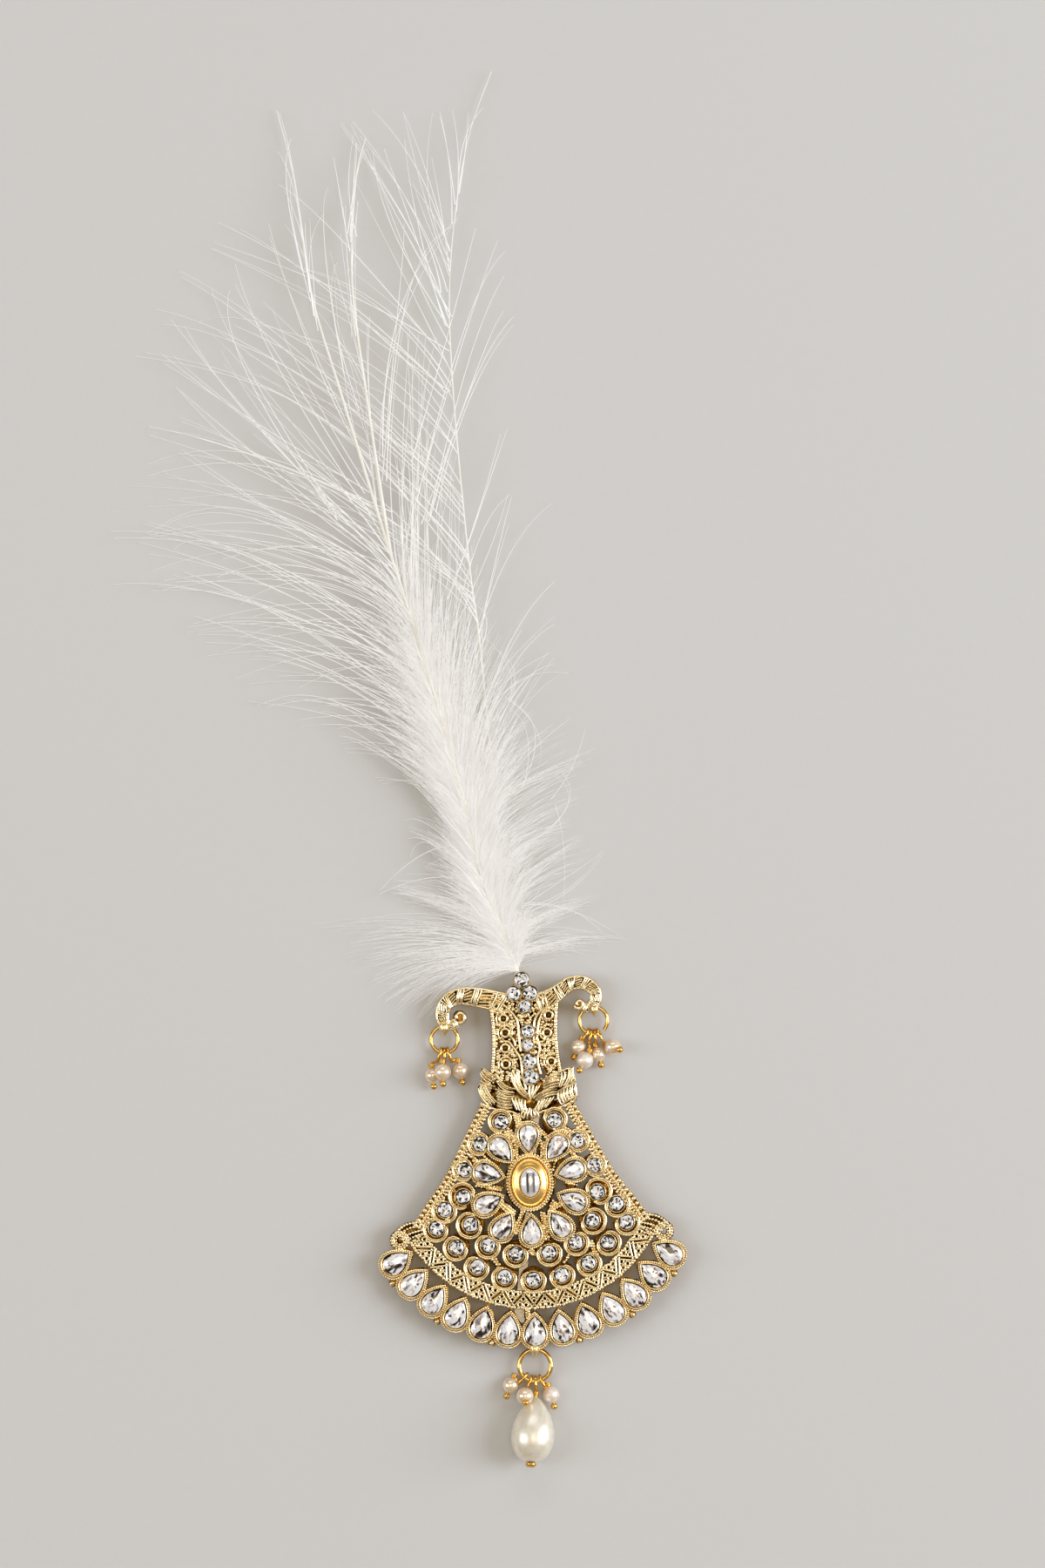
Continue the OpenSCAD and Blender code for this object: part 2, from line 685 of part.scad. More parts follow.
// Cut stone: the girdle's plan is the first child and the table's the second
module cut_stone(girdle_t, table_t) {
    color(clear) lay() hull() {
        translate([0, 0, seat_h]) linear_extrude(girdle_t) children(0);
        translate([0, 0, seat_h + girdle_t]) linear_extrude(table_t) children(1);
    }
}
module pear_stone(length, width, table_t) {
    cut_stone(stone_girdle_t, table_t) {
        polygon(pear(length, width, n = stone_sides));
        polygon(pear(length * table_part, width * table_part, n = stone_sides, phase = 0.5));
    }
}
module round_stone(r) {
    cut_stone(stone_girdle_t, round_table_t) {
        circle(r = r, $fn = 8);
        rotate(22.5) circle(r = r * table_part, $fn = 8);
    }
}
module petal_stone(i) at_petal(i - 1) pear_stone(petal_stone_l, petal_stone_w, petal_table_t);
module rim_stone(i) {
    at_rim(i - 1 - rim_half) translate([0, rim_stone_shift])
        pear_stone(rim_stone_l, rim_stone_w, rim_table_t);
}
module scroll_stones() for (s = scrolls) translate(flat(s)) round_stone(scroll_stone_r);
module neck_stones() for (g = neck_gems) translate(flat(g)) round_stone(g[2]);

module centre_cup() {
    color(deep_gold) lay() translate([0, 0, seat_h]) difference() {
        union() {
            linear_extrude(cup_flange_t) polygon(oval(cup_w, cup_l, 32));
            hull() {
                linear_extrude(cup_flange_t)
                    polygon(oval(cup_w - cup_step_w, cup_l - cup_step_w, 32));
                translate([0, 0, cup_h - cup_lip_t])
                    linear_extrude(cup_lip_t) polygon(oval(cup_lip_w, cup_lip_l, 32));
            }
        }
        translate([0, 0, cup_floor_t]) linear_extrude(cup_h)
            polygon(oval(centre_stone_w + 2 * stone_gap, centre_stone_l + 2 * stone_gap, 32));
    }
}
module centre_stone() {
    translate([0, 0, cup_floor_t + stone_gap]) cut_stone(centre_girdle_t, centre_table_t) {
        polygon(oval(centre_stone_w, centre_stone_l, 16));
        polygon(oval(centre_stone_w * table_part, centre_stone_l * table_part, 12, 0.5));
    }
}

module jump_ring(ring, opening = 0, opening_at = 0) {
    color(gold) lay() translate([ring[0], ring[1], ring_h]) rotate(opening_at + opening / 2)
        rotate_extrude(angle = 360 - opening, $fn = 48) translate([ring[2], 0]) circle(r = ring[3], $fn = 24);
}

// Loop of a head pin round the wire of a ring, and the wire that leaves it for the wrap at a bead
function loop_r(ring) = ring[3] + loop_clear + head_pin_r;
module joint(at) translate(at) sphere(r = joint_r, $fn = 24);
module looped_wire(ring, bearing, bead_end) {
    leave = concat(flat(ring) + polar(ring[2] + loop_r(ring), bearing), ring_h);
    translate(concat(flat(ring) + polar(ring[2], bearing), ring_h)) rotate([90, 0, bearing])
        rotate_extrude($fn = 32) translate([loop_r(ring), 0]) circle(r = head_pin_r, $fn = 16);
    joint(leave);
    rod(leave, bead_end, head_pin_r);
    joint(bead_end);
}
module wrapped_wire(from, bearing, rise, length) pointed(from, bearing, rise) {
    cylinder(r = wrap_r, h = wrap_l, $fn = 24);
    cylinder(r = head_pin_r, h = length, $fn = 24);
}
module head_pin(ring, p) {
    middle = [p[1], p[2], p[3]];
    way = aim(p[5], p[6]);
    start = middle - way * (p[4] + wrap_off + wrap_l);
    looped_wire(ring, p[0], start);
    wrapped_wire(start, p[5], p[6], wrap_l + wrap_off + 2 * p[4] + ball_off);
    translate(middle + way * (p[4] + ball_off)) sphere(r = ball_r, $fn = 24);
}
module head_pins(ring, table) color(gold) lay() for (p = table) head_pin(ring, p);
module small_pearl(p) {
    color(pearl_white) lay() translate([p[1], p[2], p[3]]) difference() {
        sphere(r = p[4], $fn = 48);
        pointed([0, 0, 0], p[5], p[6]) cylinder(r = pearl_bore_r, h = 4 * p[4], center = true, $fn = 24);
    }
}

module pearl_drop() {
    profile = [for (p = pear(drop_l, 2 * drop_r, drop_point, 2 * drop_steps)) [p[0], drop_l / 2 - p[1]]];
    half = [for (k = [0:drop_steps]) [max(0, profile[k][0]), profile[k][1]]];
    color(pearl_white) lay() pointed(drop_tip, drop_bearing, drop_rise) difference() {
        rotate_extrude($fn = 64) polygon(half);
        translate([0, 0, -1]) cylinder(r = pearl_bore_r, h = drop_l + 2, $fn = 24);
    }
}
module drop_pin() {
    start = drop_tip - aim(drop_bearing, drop_rise) * (wrap_off + wrap_l);
    color(gold) lay() {
        looped_wire(bottom_ring, drop_loop_at, start);
        wrapped_wire(start, drop_bearing, drop_rise, wrap_l + wrap_off + drop_l + cap_t / 2);
        pointed(drop_tip, drop_bearing, drop_rise) translate([0, 0, drop_l + stone_gap])
            cylinder(r = cap_r, h = cap_t, $fn = 32);
    }
}

// Fastener behind the plate: the wire that goes through the cloth, and the bar and blocks that carry it
module brooch_pin() {
    length = brooch_high - brooch_low;
    bar_top = back_h - brooch_r - stone_gap;
    color(steel) rotate(-brooch_lean) translate([0, brooch_low, 0]) {
        rotate([-90, 0, 0]) cylinder(r = brooch_r, h = length, $fn = 32);
        translate([-brooch_bar_w / 2, brooch_inset, bar_top - brooch_bar_t])
            cube([brooch_bar_w, length - 2 * brooch_inset, brooch_bar_t]);
        for (y = [2 * brooch_inset, length - brooch_block_l - 2 * brooch_inset])
            translate([-brooch_block_w / 2, y, brooch_inset - brooch_r])
                cube([brooch_block_w, brooch_block_l, bar_top + brooch_r - 2 * brooch_inset]);
    }
}

// Flat coin that the locks, shafts and down are chained from
module coin(p, half_w, half_t, sides = lock_sides) {
    translate([p[0], p[1], p[2] - half_t]) cylinder(r = half_w, h = 2 * half_t, $fn = sides);
}
module shaft(table) {
    for (k = [0:len(table) - 2]) hull() {
        coin(spot(table[k]), table[k][3], table[k][3]);
        coin(spot(table[k + 1]), table[k + 1][3], table[k + 1][3]);
    }
}
module down_slice(s) {
    coin([s[0], s[1], s[3]], s[2], s[4] * down_edge_part, down_sides);
    coin([s[0], s[1], s[3]], s[2] * down_ridge_part, s[4], down_sides);
}
module down() {
    for (k = [0:len(down_core) - 2]) hull() {
        down_slice(down_core[k]);
        down_slice(down_core[k + 1]);
    }
}
function bezier(a, b, c, v) = a * (1 - v) * (1 - v) + b * 2 * v * (1 - v) + c * v * v;
function lock_half_w(v) = lock_w * (lock_end_part + (1 - lock_end_part) * sin(180 * v));
module lock(root, way, tip) {
    bend = root + concat(way * norm(flat(tip) - flat(root)) * lock_bend, 0);
    for (s = [0:lock_steps - 1]) hull() for (v = [s, s + 1] / lock_steps)
        coin(bezier(root, bend, tip, v), lock_half_w(v), lock_t / 2);
}
module vane(v) {
    for (k = [0:v[4] - 1]) {
        u = k / (v[4] - 1);
        t = v[1] + (v[2] - v[1]) * u;
        lock(spot(curve(v[0], t)), turned(heading(v[0], t), v[3]), curve(v[5], (len(v[5]) - 1) * u));
    }
}
module plume() {
    start = concat(plume_mouth, plume_h) - aim(90 + plume_lean, 0) * quill_in;
    color(feather_white) lay() {
        rod(start, spot(shaft_main[0]), quill_r);
        for (s = [shaft_main, shaft_left, shaft_middle, shaft_right]) shaft(s);
        down();
        for (v = vanes) vane(v);
    }
}

casting();
centre_cup();
centre_stone();
scroll_stones();
neck_stones();
for (i = [1:petal_count]) petal_stone(i);
for (i = [1:rim_count]) rim_stone(i);
jump_ring(left_ring);  // ring_left
jump_ring(right_ring, right_ring_gap, right_ring_gap_at);  // ring_right
jump_ring(bottom_ring);  // ring_bottom
head_pins(left_ring, left_pearls);  // pins_left
head_pins(right_ring, right_pearls);  // pins_right
head_pins(bottom_ring, bottom_pearls);  // pins_bottom
for (i = [1:len(left_pearls)])
    small_pearl(left_pearls[i - 1]);
for (i = [1:len(right_pearls)])
    small_pearl(right_pearls[i - 1]);
for (i = [1:len(bottom_pearls)])
    small_pearl(bottom_pearls[i - 1]);
pearl_drop();
drop_pin();
brooch_pin();
plume();
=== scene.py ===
"""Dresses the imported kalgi: a gold turban brooch with foiled stones, pearl drops and a white plume."""

import math
import random

import bmesh
import bpy
from mathutils import Matrix, Vector


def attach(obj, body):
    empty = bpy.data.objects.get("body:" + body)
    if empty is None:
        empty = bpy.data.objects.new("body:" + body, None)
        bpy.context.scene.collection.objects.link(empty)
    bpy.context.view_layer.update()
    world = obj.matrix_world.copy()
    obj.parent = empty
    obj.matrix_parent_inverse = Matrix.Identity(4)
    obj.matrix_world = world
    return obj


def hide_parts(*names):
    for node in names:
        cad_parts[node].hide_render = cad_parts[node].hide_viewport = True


bl_info = {
    "name": "Kalgi turban ornament",
    "version": (1, 0, 0),
    "blender": (4, 5, 0),
    "location": "View3D > Sidebar > Kalgi",
    "description": "Models the cast relief, stones, pearls and feather of a kalgi on its packed frame",
    "category": "Add Mesh",
}

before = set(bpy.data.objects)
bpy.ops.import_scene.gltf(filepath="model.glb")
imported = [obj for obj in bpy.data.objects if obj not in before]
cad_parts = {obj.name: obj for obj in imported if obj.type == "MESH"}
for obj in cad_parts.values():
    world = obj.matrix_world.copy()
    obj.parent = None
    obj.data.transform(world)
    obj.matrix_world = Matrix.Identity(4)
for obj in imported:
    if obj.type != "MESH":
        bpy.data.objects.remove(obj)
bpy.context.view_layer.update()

# Tables are in millimetres in the frame's X and Y, and heights above the surface that the kalgi lies on,
# which is this far from the frame's origin. The colour of the cast gold follows its height: painted shade,
# with the brown tarnish of the recesses, from 3.3 to 3.7, gold from 3.85 and a painted highlight from 4.1.
MM = 0.001
SURFACE = -0.6
PLATE_TOP, SEAT, GRAIN_H = 3.5, 3.45, 3.82

# Petal stones: distance from the middle and bearing from the top, clockwise
PETALS = [(8.4, 0), (8.25, 39), (8.14, 76), (8.86, 114.7), (9.8, 147), (9.26, 180),
          (9.8, -147), (8.86, -114.7), (8.14, -76), (8.25, -39)]
PETAL_L, PETAL_W = 5.2, 3.5
CENTRE_STONE = (3.9, 5.6)
RIM_Y, RIM_R, RIM_PITCH, RIM_HALF = 2.7, 30.8, 9.45, 6
RIM_L, RIM_W, RIM_SHIFT = 5.6, 4.0, -0.3
PEAR_POINT, GIRDLE_H = 0.8, 0.15
BAND_IN, BAND_OUT, BAND_REACH = 23.5, 26.9, 58
SCROLL_STONE_R = 1.5
# Round stones of the right side: x, y, radius of the scroll ring, bearing of its opening
SIDE_SCROLLS = [
    (5.08, 11.67, 2.5, 225), (9.24, 7.62, 2.4, 190), (12.35, 2.78, 2.35, 180),
    (12.83, -2.34, 2.8, 215), (16.4, -4.7, 2.6, 120), (18.15, -8.2, 2.6, 130),
    (11.6, -7.7, 2.75, 150), (14.43, -11.96, 2.6, 140), (8.36, -11.76, 2.6, 120),
    (10.6, -15.8, 2.6, 125), (5.44, -17.9, 2.6, 115), (3.15, -13.57, 2.6, 110),
]
SCROLLS = SIDE_SCROLLS + [(-x, y, r, 180 - a) for x, y, r, a in SIDE_SCROLLS] + [(0, -18.6, 2.6, 90)]
NECK_GEMS = [(-0.2, 38.7, 1.4), (-1.87, 36.15, 1.35), (1.38, 36.15, 1.35), (0.15, 33.55, 1.25),
             (0.6, 28.8, 1.25), (0.5, 26.2, 1.1), (0.75, 23.15, 1.35), (0.8, 20.1, 1.45)]
# Outer edge of the right side, from the leaf collar to the corner: x, y, half-width of the strip
SIDE_EDGE = [(7.9, 14.8, 1), (11.3, 8.4, 1), (15.2, 1.1, 1.05), (18.9, -4, 1.1), (21.4, -7.9, 1.3)]
CORNER_PATH = [(20.6, -7.9, 1.4), (23.4, -8.5, 1.7), (25, -9.6, 1.6)]
CORNER_EYE = (25.2, -10.2)
LEFT_HORN = [(-3.6, 34.4, 1.9), (-7.6, 35.4, 1.95), (-10.2, 35.9, 1.8), (-12.6, 35.9, 1.55),
             (-14.6, 34.9, 1.45), (-15.5, 33.1, 1.3), (-15.4, 31.3, 1.15), (-14.2, 30.5, 0.95),
             (-12.8, 30.9, 0.95)]
LEFT_CURL = (-12.3, 32, 1.3)
RIGHT_HORN = [(2.6, 34, 1.9), (5.4, 35.2, 1.7), (7.3, 36.5, 1.45), (9, 37.6, 1.35), (11, 37.85, 1.3),
              (12.8, 37.1, 1.25), (13.8, 35.7, 1.1), (13.7, 34.1, 1.05), (12.6, 33, 0.95), (11.3, 32.9, 0.8)]
RIGHT_CURL = (10.6, 33.7, 1.0)
NECK_HALF, NECK_FLARE, NECK_LOW, NECK_HIGH = 6.25, 0.7, 20.5, 35.6
RINGLETS = [(-3.96, 31.4), (-3.7, 28.7), (-3.8, 25.75), (-3.8, 22.7),
            (4.7, 31.8), (4.3, 28.45), (3.07, 27.5), (4.9, 22.9)]
# Smooth ribs of the neck, by places in the picture
NECK_RIBS = [
    [(572, 1148), (586, 1160), (594, 1172), (596, 1190), (598, 1206)],
    [(592, 1206), (598, 1216), (600, 1232), (604, 1250)],
    [(585, 1196), (591, 1204), (597, 1212)],
    [(622, 1158), (615, 1168), (613, 1178)],
    [(634, 1148), (624, 1160), (619, 1172), (617, 1186)],
    [(617, 1192), (620, 1204), (617, 1216), (621, 1232)],
    [(583, 1186), (589, 1192), (592, 1200)],
    [(588, 1228), (592, 1236), (597, 1250)],
]
NECK_SLOT = (3.1, 20.6)
# Eyes of the leaf collar, by places in the picture, each filled with a low disc painted dark as shade
COLLAR_EYES = [(608.4, 1265.6), (619.4, 1244.4)]
# Flutes of the leaf collar, by places in the picture: line of their roots, line of their tips, number
# of flutes, and how far they bow to their left
LEAF_FANS = [
    ((555.9, 1225.5), (551.6, 1232), (570.5, 1234.5), (562.7, 1244), 4, 0.05),
    ((557.3, 1243), (549.8, 1248.6), (570.5, 1264), (560, 1267), 5, 0.1),
    ((572, 1236), (571.8, 1251), (591, 1248), (587, 1258), 3, 0.14),
    ((570.9, 1257), (571.4, 1268.6), (587.3, 1260.5), (586.4, 1270.5), 4, 0.08),
    ((587.3, 1232.3), (596.4, 1228.6), (603.6, 1260.5), (607.7, 1257.7), 4, 0.14),
    ((588.2, 1257.7), (602.7, 1262.3), (593.6, 1273.2), (605.5, 1277.7), 5, 0.06),
    ((607.7, 1245), (620, 1246), (608.6, 1262.3), (612.7, 1258.6), 4, 0),
    ((619.1, 1262.3), (635.5, 1258.6), (613.6, 1276.8), (627.3, 1269.5), 6, 0),
    ((612.7, 1260.5), (617.3, 1264), (636.4, 1248.6), (640.9, 1255), 3, -0.06),
    ((623.6, 1239.5), (624.5, 1251.4), (643.6, 1233.2), (641.8, 1245.9), 5, -0.08),
    ((641.8, 1246.8), (650, 1245.9), (644.5, 1230.5), (657.3, 1225), 4, 0.08),
    ((651.8, 1245), (659, 1241.4), (657.3, 1227), (660.5, 1237.7), 3, 0.05),
    ((640.9, 1253.2), (661, 1243.2), (644.5, 1265.9), (662.3, 1256.8), 7, 0.1),
    ((638.2, 1253.2), (638.2, 1253.2), (661.4, 1242.3), (661.4, 1242.3), 1, 0),
    ((636.4, 1262), (644.5, 1266.8), (662, 1257.7), (663, 1257.7), 2, -0.05),
    ((551, 1240), (551, 1252), (567, 1246), (562, 1256), 4, 0.05),
    ((569, 1250), (570, 1258), (590, 1254), (588, 1261), 3, 0.05),
    ((598, 1281), (606, 1284), (603, 1271), (608, 1272), 3, 0),
    ((611, 1284), (619, 1281), (610, 1272), (615, 1271), 3, 0),
]
# Outer edges of the collar, in millimetres
LEAF_EDGES = [
    [(0.7, 12.3), (3, 13.5), (6.4, 14.2), (9.2, 15.6), (9.3, 18.2), (8.35, 19.4), (8.6, 21.5),
     (6.2, 20.8)],
    [(-0.7, 12.3), (-3, 13.6), (-6.2, 14.2), (-8.9, 15.5)],
]
# Webs of cast grains that fill the piercing between the collets: both ends in the picture, rows of grains
WEBS = [
    (601, 1388, 592, 1413, 2), (623, 1391, 628, 1421, 2), (573, 1379, 589, 1392, 3),
    (588, 1397, 583, 1402, 1), (633, 1387, 648, 1379, 2), (636, 1378, 630, 1396, 2),
    (547, 1359, 575, 1364, 2), (540, 1324, 547, 1333, 2), (582, 1297, 592, 1307, 3),
    (593, 1279, 596, 1291, 3), (594, 1308, 592, 1326, 2), (620, 1297, 630, 1305, 2),
    (623, 1309, 623, 1326, 2), (638, 1332, 635, 1342, 1), (656, 1320, 661, 1331, 2),
    (650, 1357, 662, 1360, 1), (677, 1423, 684, 1438, 2), (567, 1444, 573, 1453, 2),
    (606, 1500, 606, 1512, 2), (608, 1434, 615, 1439, 2), (554, 1325, 562, 1331, 1),
    (508, 1405, 515, 1399, 2), (653, 1440, 648, 1448, 1), (645, 1293, 655, 1299, 2),
]
LUG_R, LUG_STEPS, LUG_BALL, LUG_H = 34.2, (1.5, 3.5, 5.5), 0.75, 3.0
RING_LUGS = [(-15.35, 30, 3.2, 2), (13.5, 32.5, 2.8, 1.6), (-0.26, -32, 3.2, 1.8)]

# Jump rings: x, y, radius to the middle of the wire, radius of the wire, opening and its bearing
RING_H = 1.7
RINGS = {
    "left": (-15.35, 27.8, 2.575, 0.375, 0, 0),
    "right": (13.26, 30.4, 2.675, 0.375, 14, -52),
    "bottom": (-0.26, -35.1, 3.05, 0.45, 0, 0),
}
# Small pearls: bearing of the loop on the ring, x, y, height, radius, bearing and rise of the ball end
PEARLS = {
    "left": [(250, -17.9, 21, 1.5, 1.5, -86, 0), (268, -15.9, 21.6, 3.9, 1.6, -91, 8),
             (286, -12.55, 21.7, 1.6, 1.6, -81, 0)],
    "right": [(240, 10.2, 25.4, 1.45, 1.45, -114, 0), (257, 11.3, 22.9, 3.1, 1.65, -120, 18),
              (274, 13.9, 23.85, 1.45, 1.45, -76, 0), (291, 16.75, 25.2, 2.5, 1.6, -20, 52)],
    "bottom": [(225, -5.1, -38.8, 1.55, 1.55, -112, 0), (250, -2.4, -40.7, 5.4, 1.65, -85, 60),
               (292, 2.55, -40.85, 1.65, 1.65, -76, 0)],
}
ROUGH_PEARLS = {("right", 2), ("bottom", 3)}
BALL_R, BALL_OFF, WRAP_L, WRAP_OFF, PIN_R = 0.66, 0.62, 0.6, 0.15, 0.29
LOOP_OFF, LOOP_LONG = 0.5, 1.65
DROP_TIP, DROP_BEARING, DROP_RISE, DROP_L, DROP_R = (-0.4, -40.9, 2.66), -96, 12, 13.0, 4.15
DROP_LOOP_AT, CAP_T = 270, 0.8

# Feather shafts, from the quill to the tip: x, y, height, radius
SHAFT_MAIN = [(-0.93, 40, 1.35, 0.75), (-3.4, 47.9, 2.2, 0.7), (-7, 57.9, 3.2, 0.65),
              (-9, 69.1, 4.2, 0.6), (-13.7, 88.8, 5, 0.6), (-18.4, 107.1, 5.2, 0.6),
              (-22.3, 120.8, 5, 0.6)]
SHAFT_LEFT = [(-22.3, 120.8, 5, 0.6), (-30.4, 150.8, 4.2, 0.5), (-35.8, 171.8, 3.2, 0.45),
              (-38.2, 192.9, 2, 0.4), (-41.1, 206.5, 1.2, 0.4)]
SHAFT_MIDDLE = [(-22.3, 120.8, 5, 0.6), (-25.6, 149.3, 5, 0.5), (-27.8, 172.9, 4, 0.45),
                (-26.5, 192, 2.6, 0.4), (-24.3, 200.5, 1.6, 0.4)]
SHAFT_RIGHT = [(-0.93, 40, 1.35, 0.7), (-3, 60, 4.6, 0.5), (-4.5, 80, 6, 0.5), (-5.9, 103.2, 6, 0.5),
               (-7.5, 120.3, 5.6, 0.45), (-9.3, 152.3, 4, 0.45), (-9, 175, 3, 0.4),
               (-5.2, 198, 1.8, 0.4), (0.2, 212.5, 1, 0.4)]
# Down along the main shaft: place on the shaft, reach and spread to the left, the same to the right,
# crowding
DOWN = [(0, 9, 50, 9, 50, 0.9), (0.8, 15, 42, 16, 46, 1.2), (1.6, 15, 32, 19, 42, 1.1),
        (2.4, 18, 30, 25, 40, 1.1), (3.2, 25, 40, 34, 36, 1.05), (4, 25, 38, 30, 30, 0.62),
        (4.6, 22, 26, 26, 22, 0.22), (5.2, 17, 16, 18, 12, 0.06)]
# Loose tufts of down: place of their root on the main shaft, their tip in the picture, and their bow
TUFTS = [
    (0.5, (399, 1083), 0.14), (0.35, (412, 1108), 0.1), (0.9, (449, 1019), 0.12), (1.9, (468, 950), 0.1),
    (0.9, (472, 1035), 0.1), (1.4, (484, 992), 0.1), (0.2, (456, 1154), 0.16), (0.25, (438, 1128), 0.12),
    (2.4, (488, 905), 0.08), (0.15, (478, 1172), 0.2),
    (0.5, (699, 1077), -0.1), (1.3, (680, 981), -0.12), (0.8, (668, 1035), -0.14), (2.2, (661, 915), -0.12),
    (1.6, (641, 958), -0.16), (2.9, (680, 869), -0.1), (3.2, (634, 838), -0.12), (1.9, (650, 940), -0.2),
]
# Vanes: piece, shaft, first and last root on it, turn of the barbs at their roots, number of barbs,
# line of their tips as x, y, height
VANES = [
    ("left", SHAFT_MAIN, 1.8, 3.4, 34, 8,
     [(-27, 56, 1), (-23, 64, 1.2), (-23, 74, 1.2), (-31.8, 84, 0.8)]),
    ("left", SHAFT_MAIN, 3.0, 4.4, 26, 26,
     [(-25, 76, 0.8), (-36, 86, 0.8), (-48, 93, 0.8), (-55, 101, 1), (-66, 110, 1)]),
    ("left", SHAFT_MAIN, 4.2, 5.4, 20, 22,
     [(-55, 103, 0.8), (-66, 112, 0.8), (-70, 122, 0.6), (-72, 130, 0.8)]),
    ("high", SHAFT_MAIN, 5.0, 6.0, 16, 18, [(-64, 128, 1.6), (-68, 140, 0.8), (-62, 152, 1), (-56, 164, 1)]),
    ("high", SHAFT_LEFT, 0.1, 2.2, -12, 6, [(-30, 176, 2.4), (-36, 186, 2), (-38, 196, 1.5)]),
    ("high", SHAFT_MIDDLE, 0.2, 2.2, 6, 8, [(-34, 160, 2.4), (-30, 180, 2.4), (-24, 190, 2)]),
    ("middle", SHAFT_MAIN, 3.2, 5.2, -16, 34, [(-6, 118, 5), (-9, 132, 4), (-15, 146, 4), (-20, 140, 4)]),
    ("middle", SHAFT_MAIN, 4.2, 5.8, -8, 16, [(-10, 150, 4), (-16, 166, 3), (-24, 168, 4)]),
    ("far", SHAFT_RIGHT, 3.2, 4.6, 30, 22, [(-50, 138, 1), (-48, 152, 1), (-52, 166, 1), (-44, 172, 1)]),
    ("far", SHAFT_RIGHT, 4.6, 6.2, 24, 12, [(-40, 178, 1), (-28, 196, 1), (-16, 206, 1)]),
    ("right", SHAFT_MAIN, 2.2, 3.8, -34, 16, [(12, 76, 1), (9, 92, 0.8), (8, 108, 1)]),
]
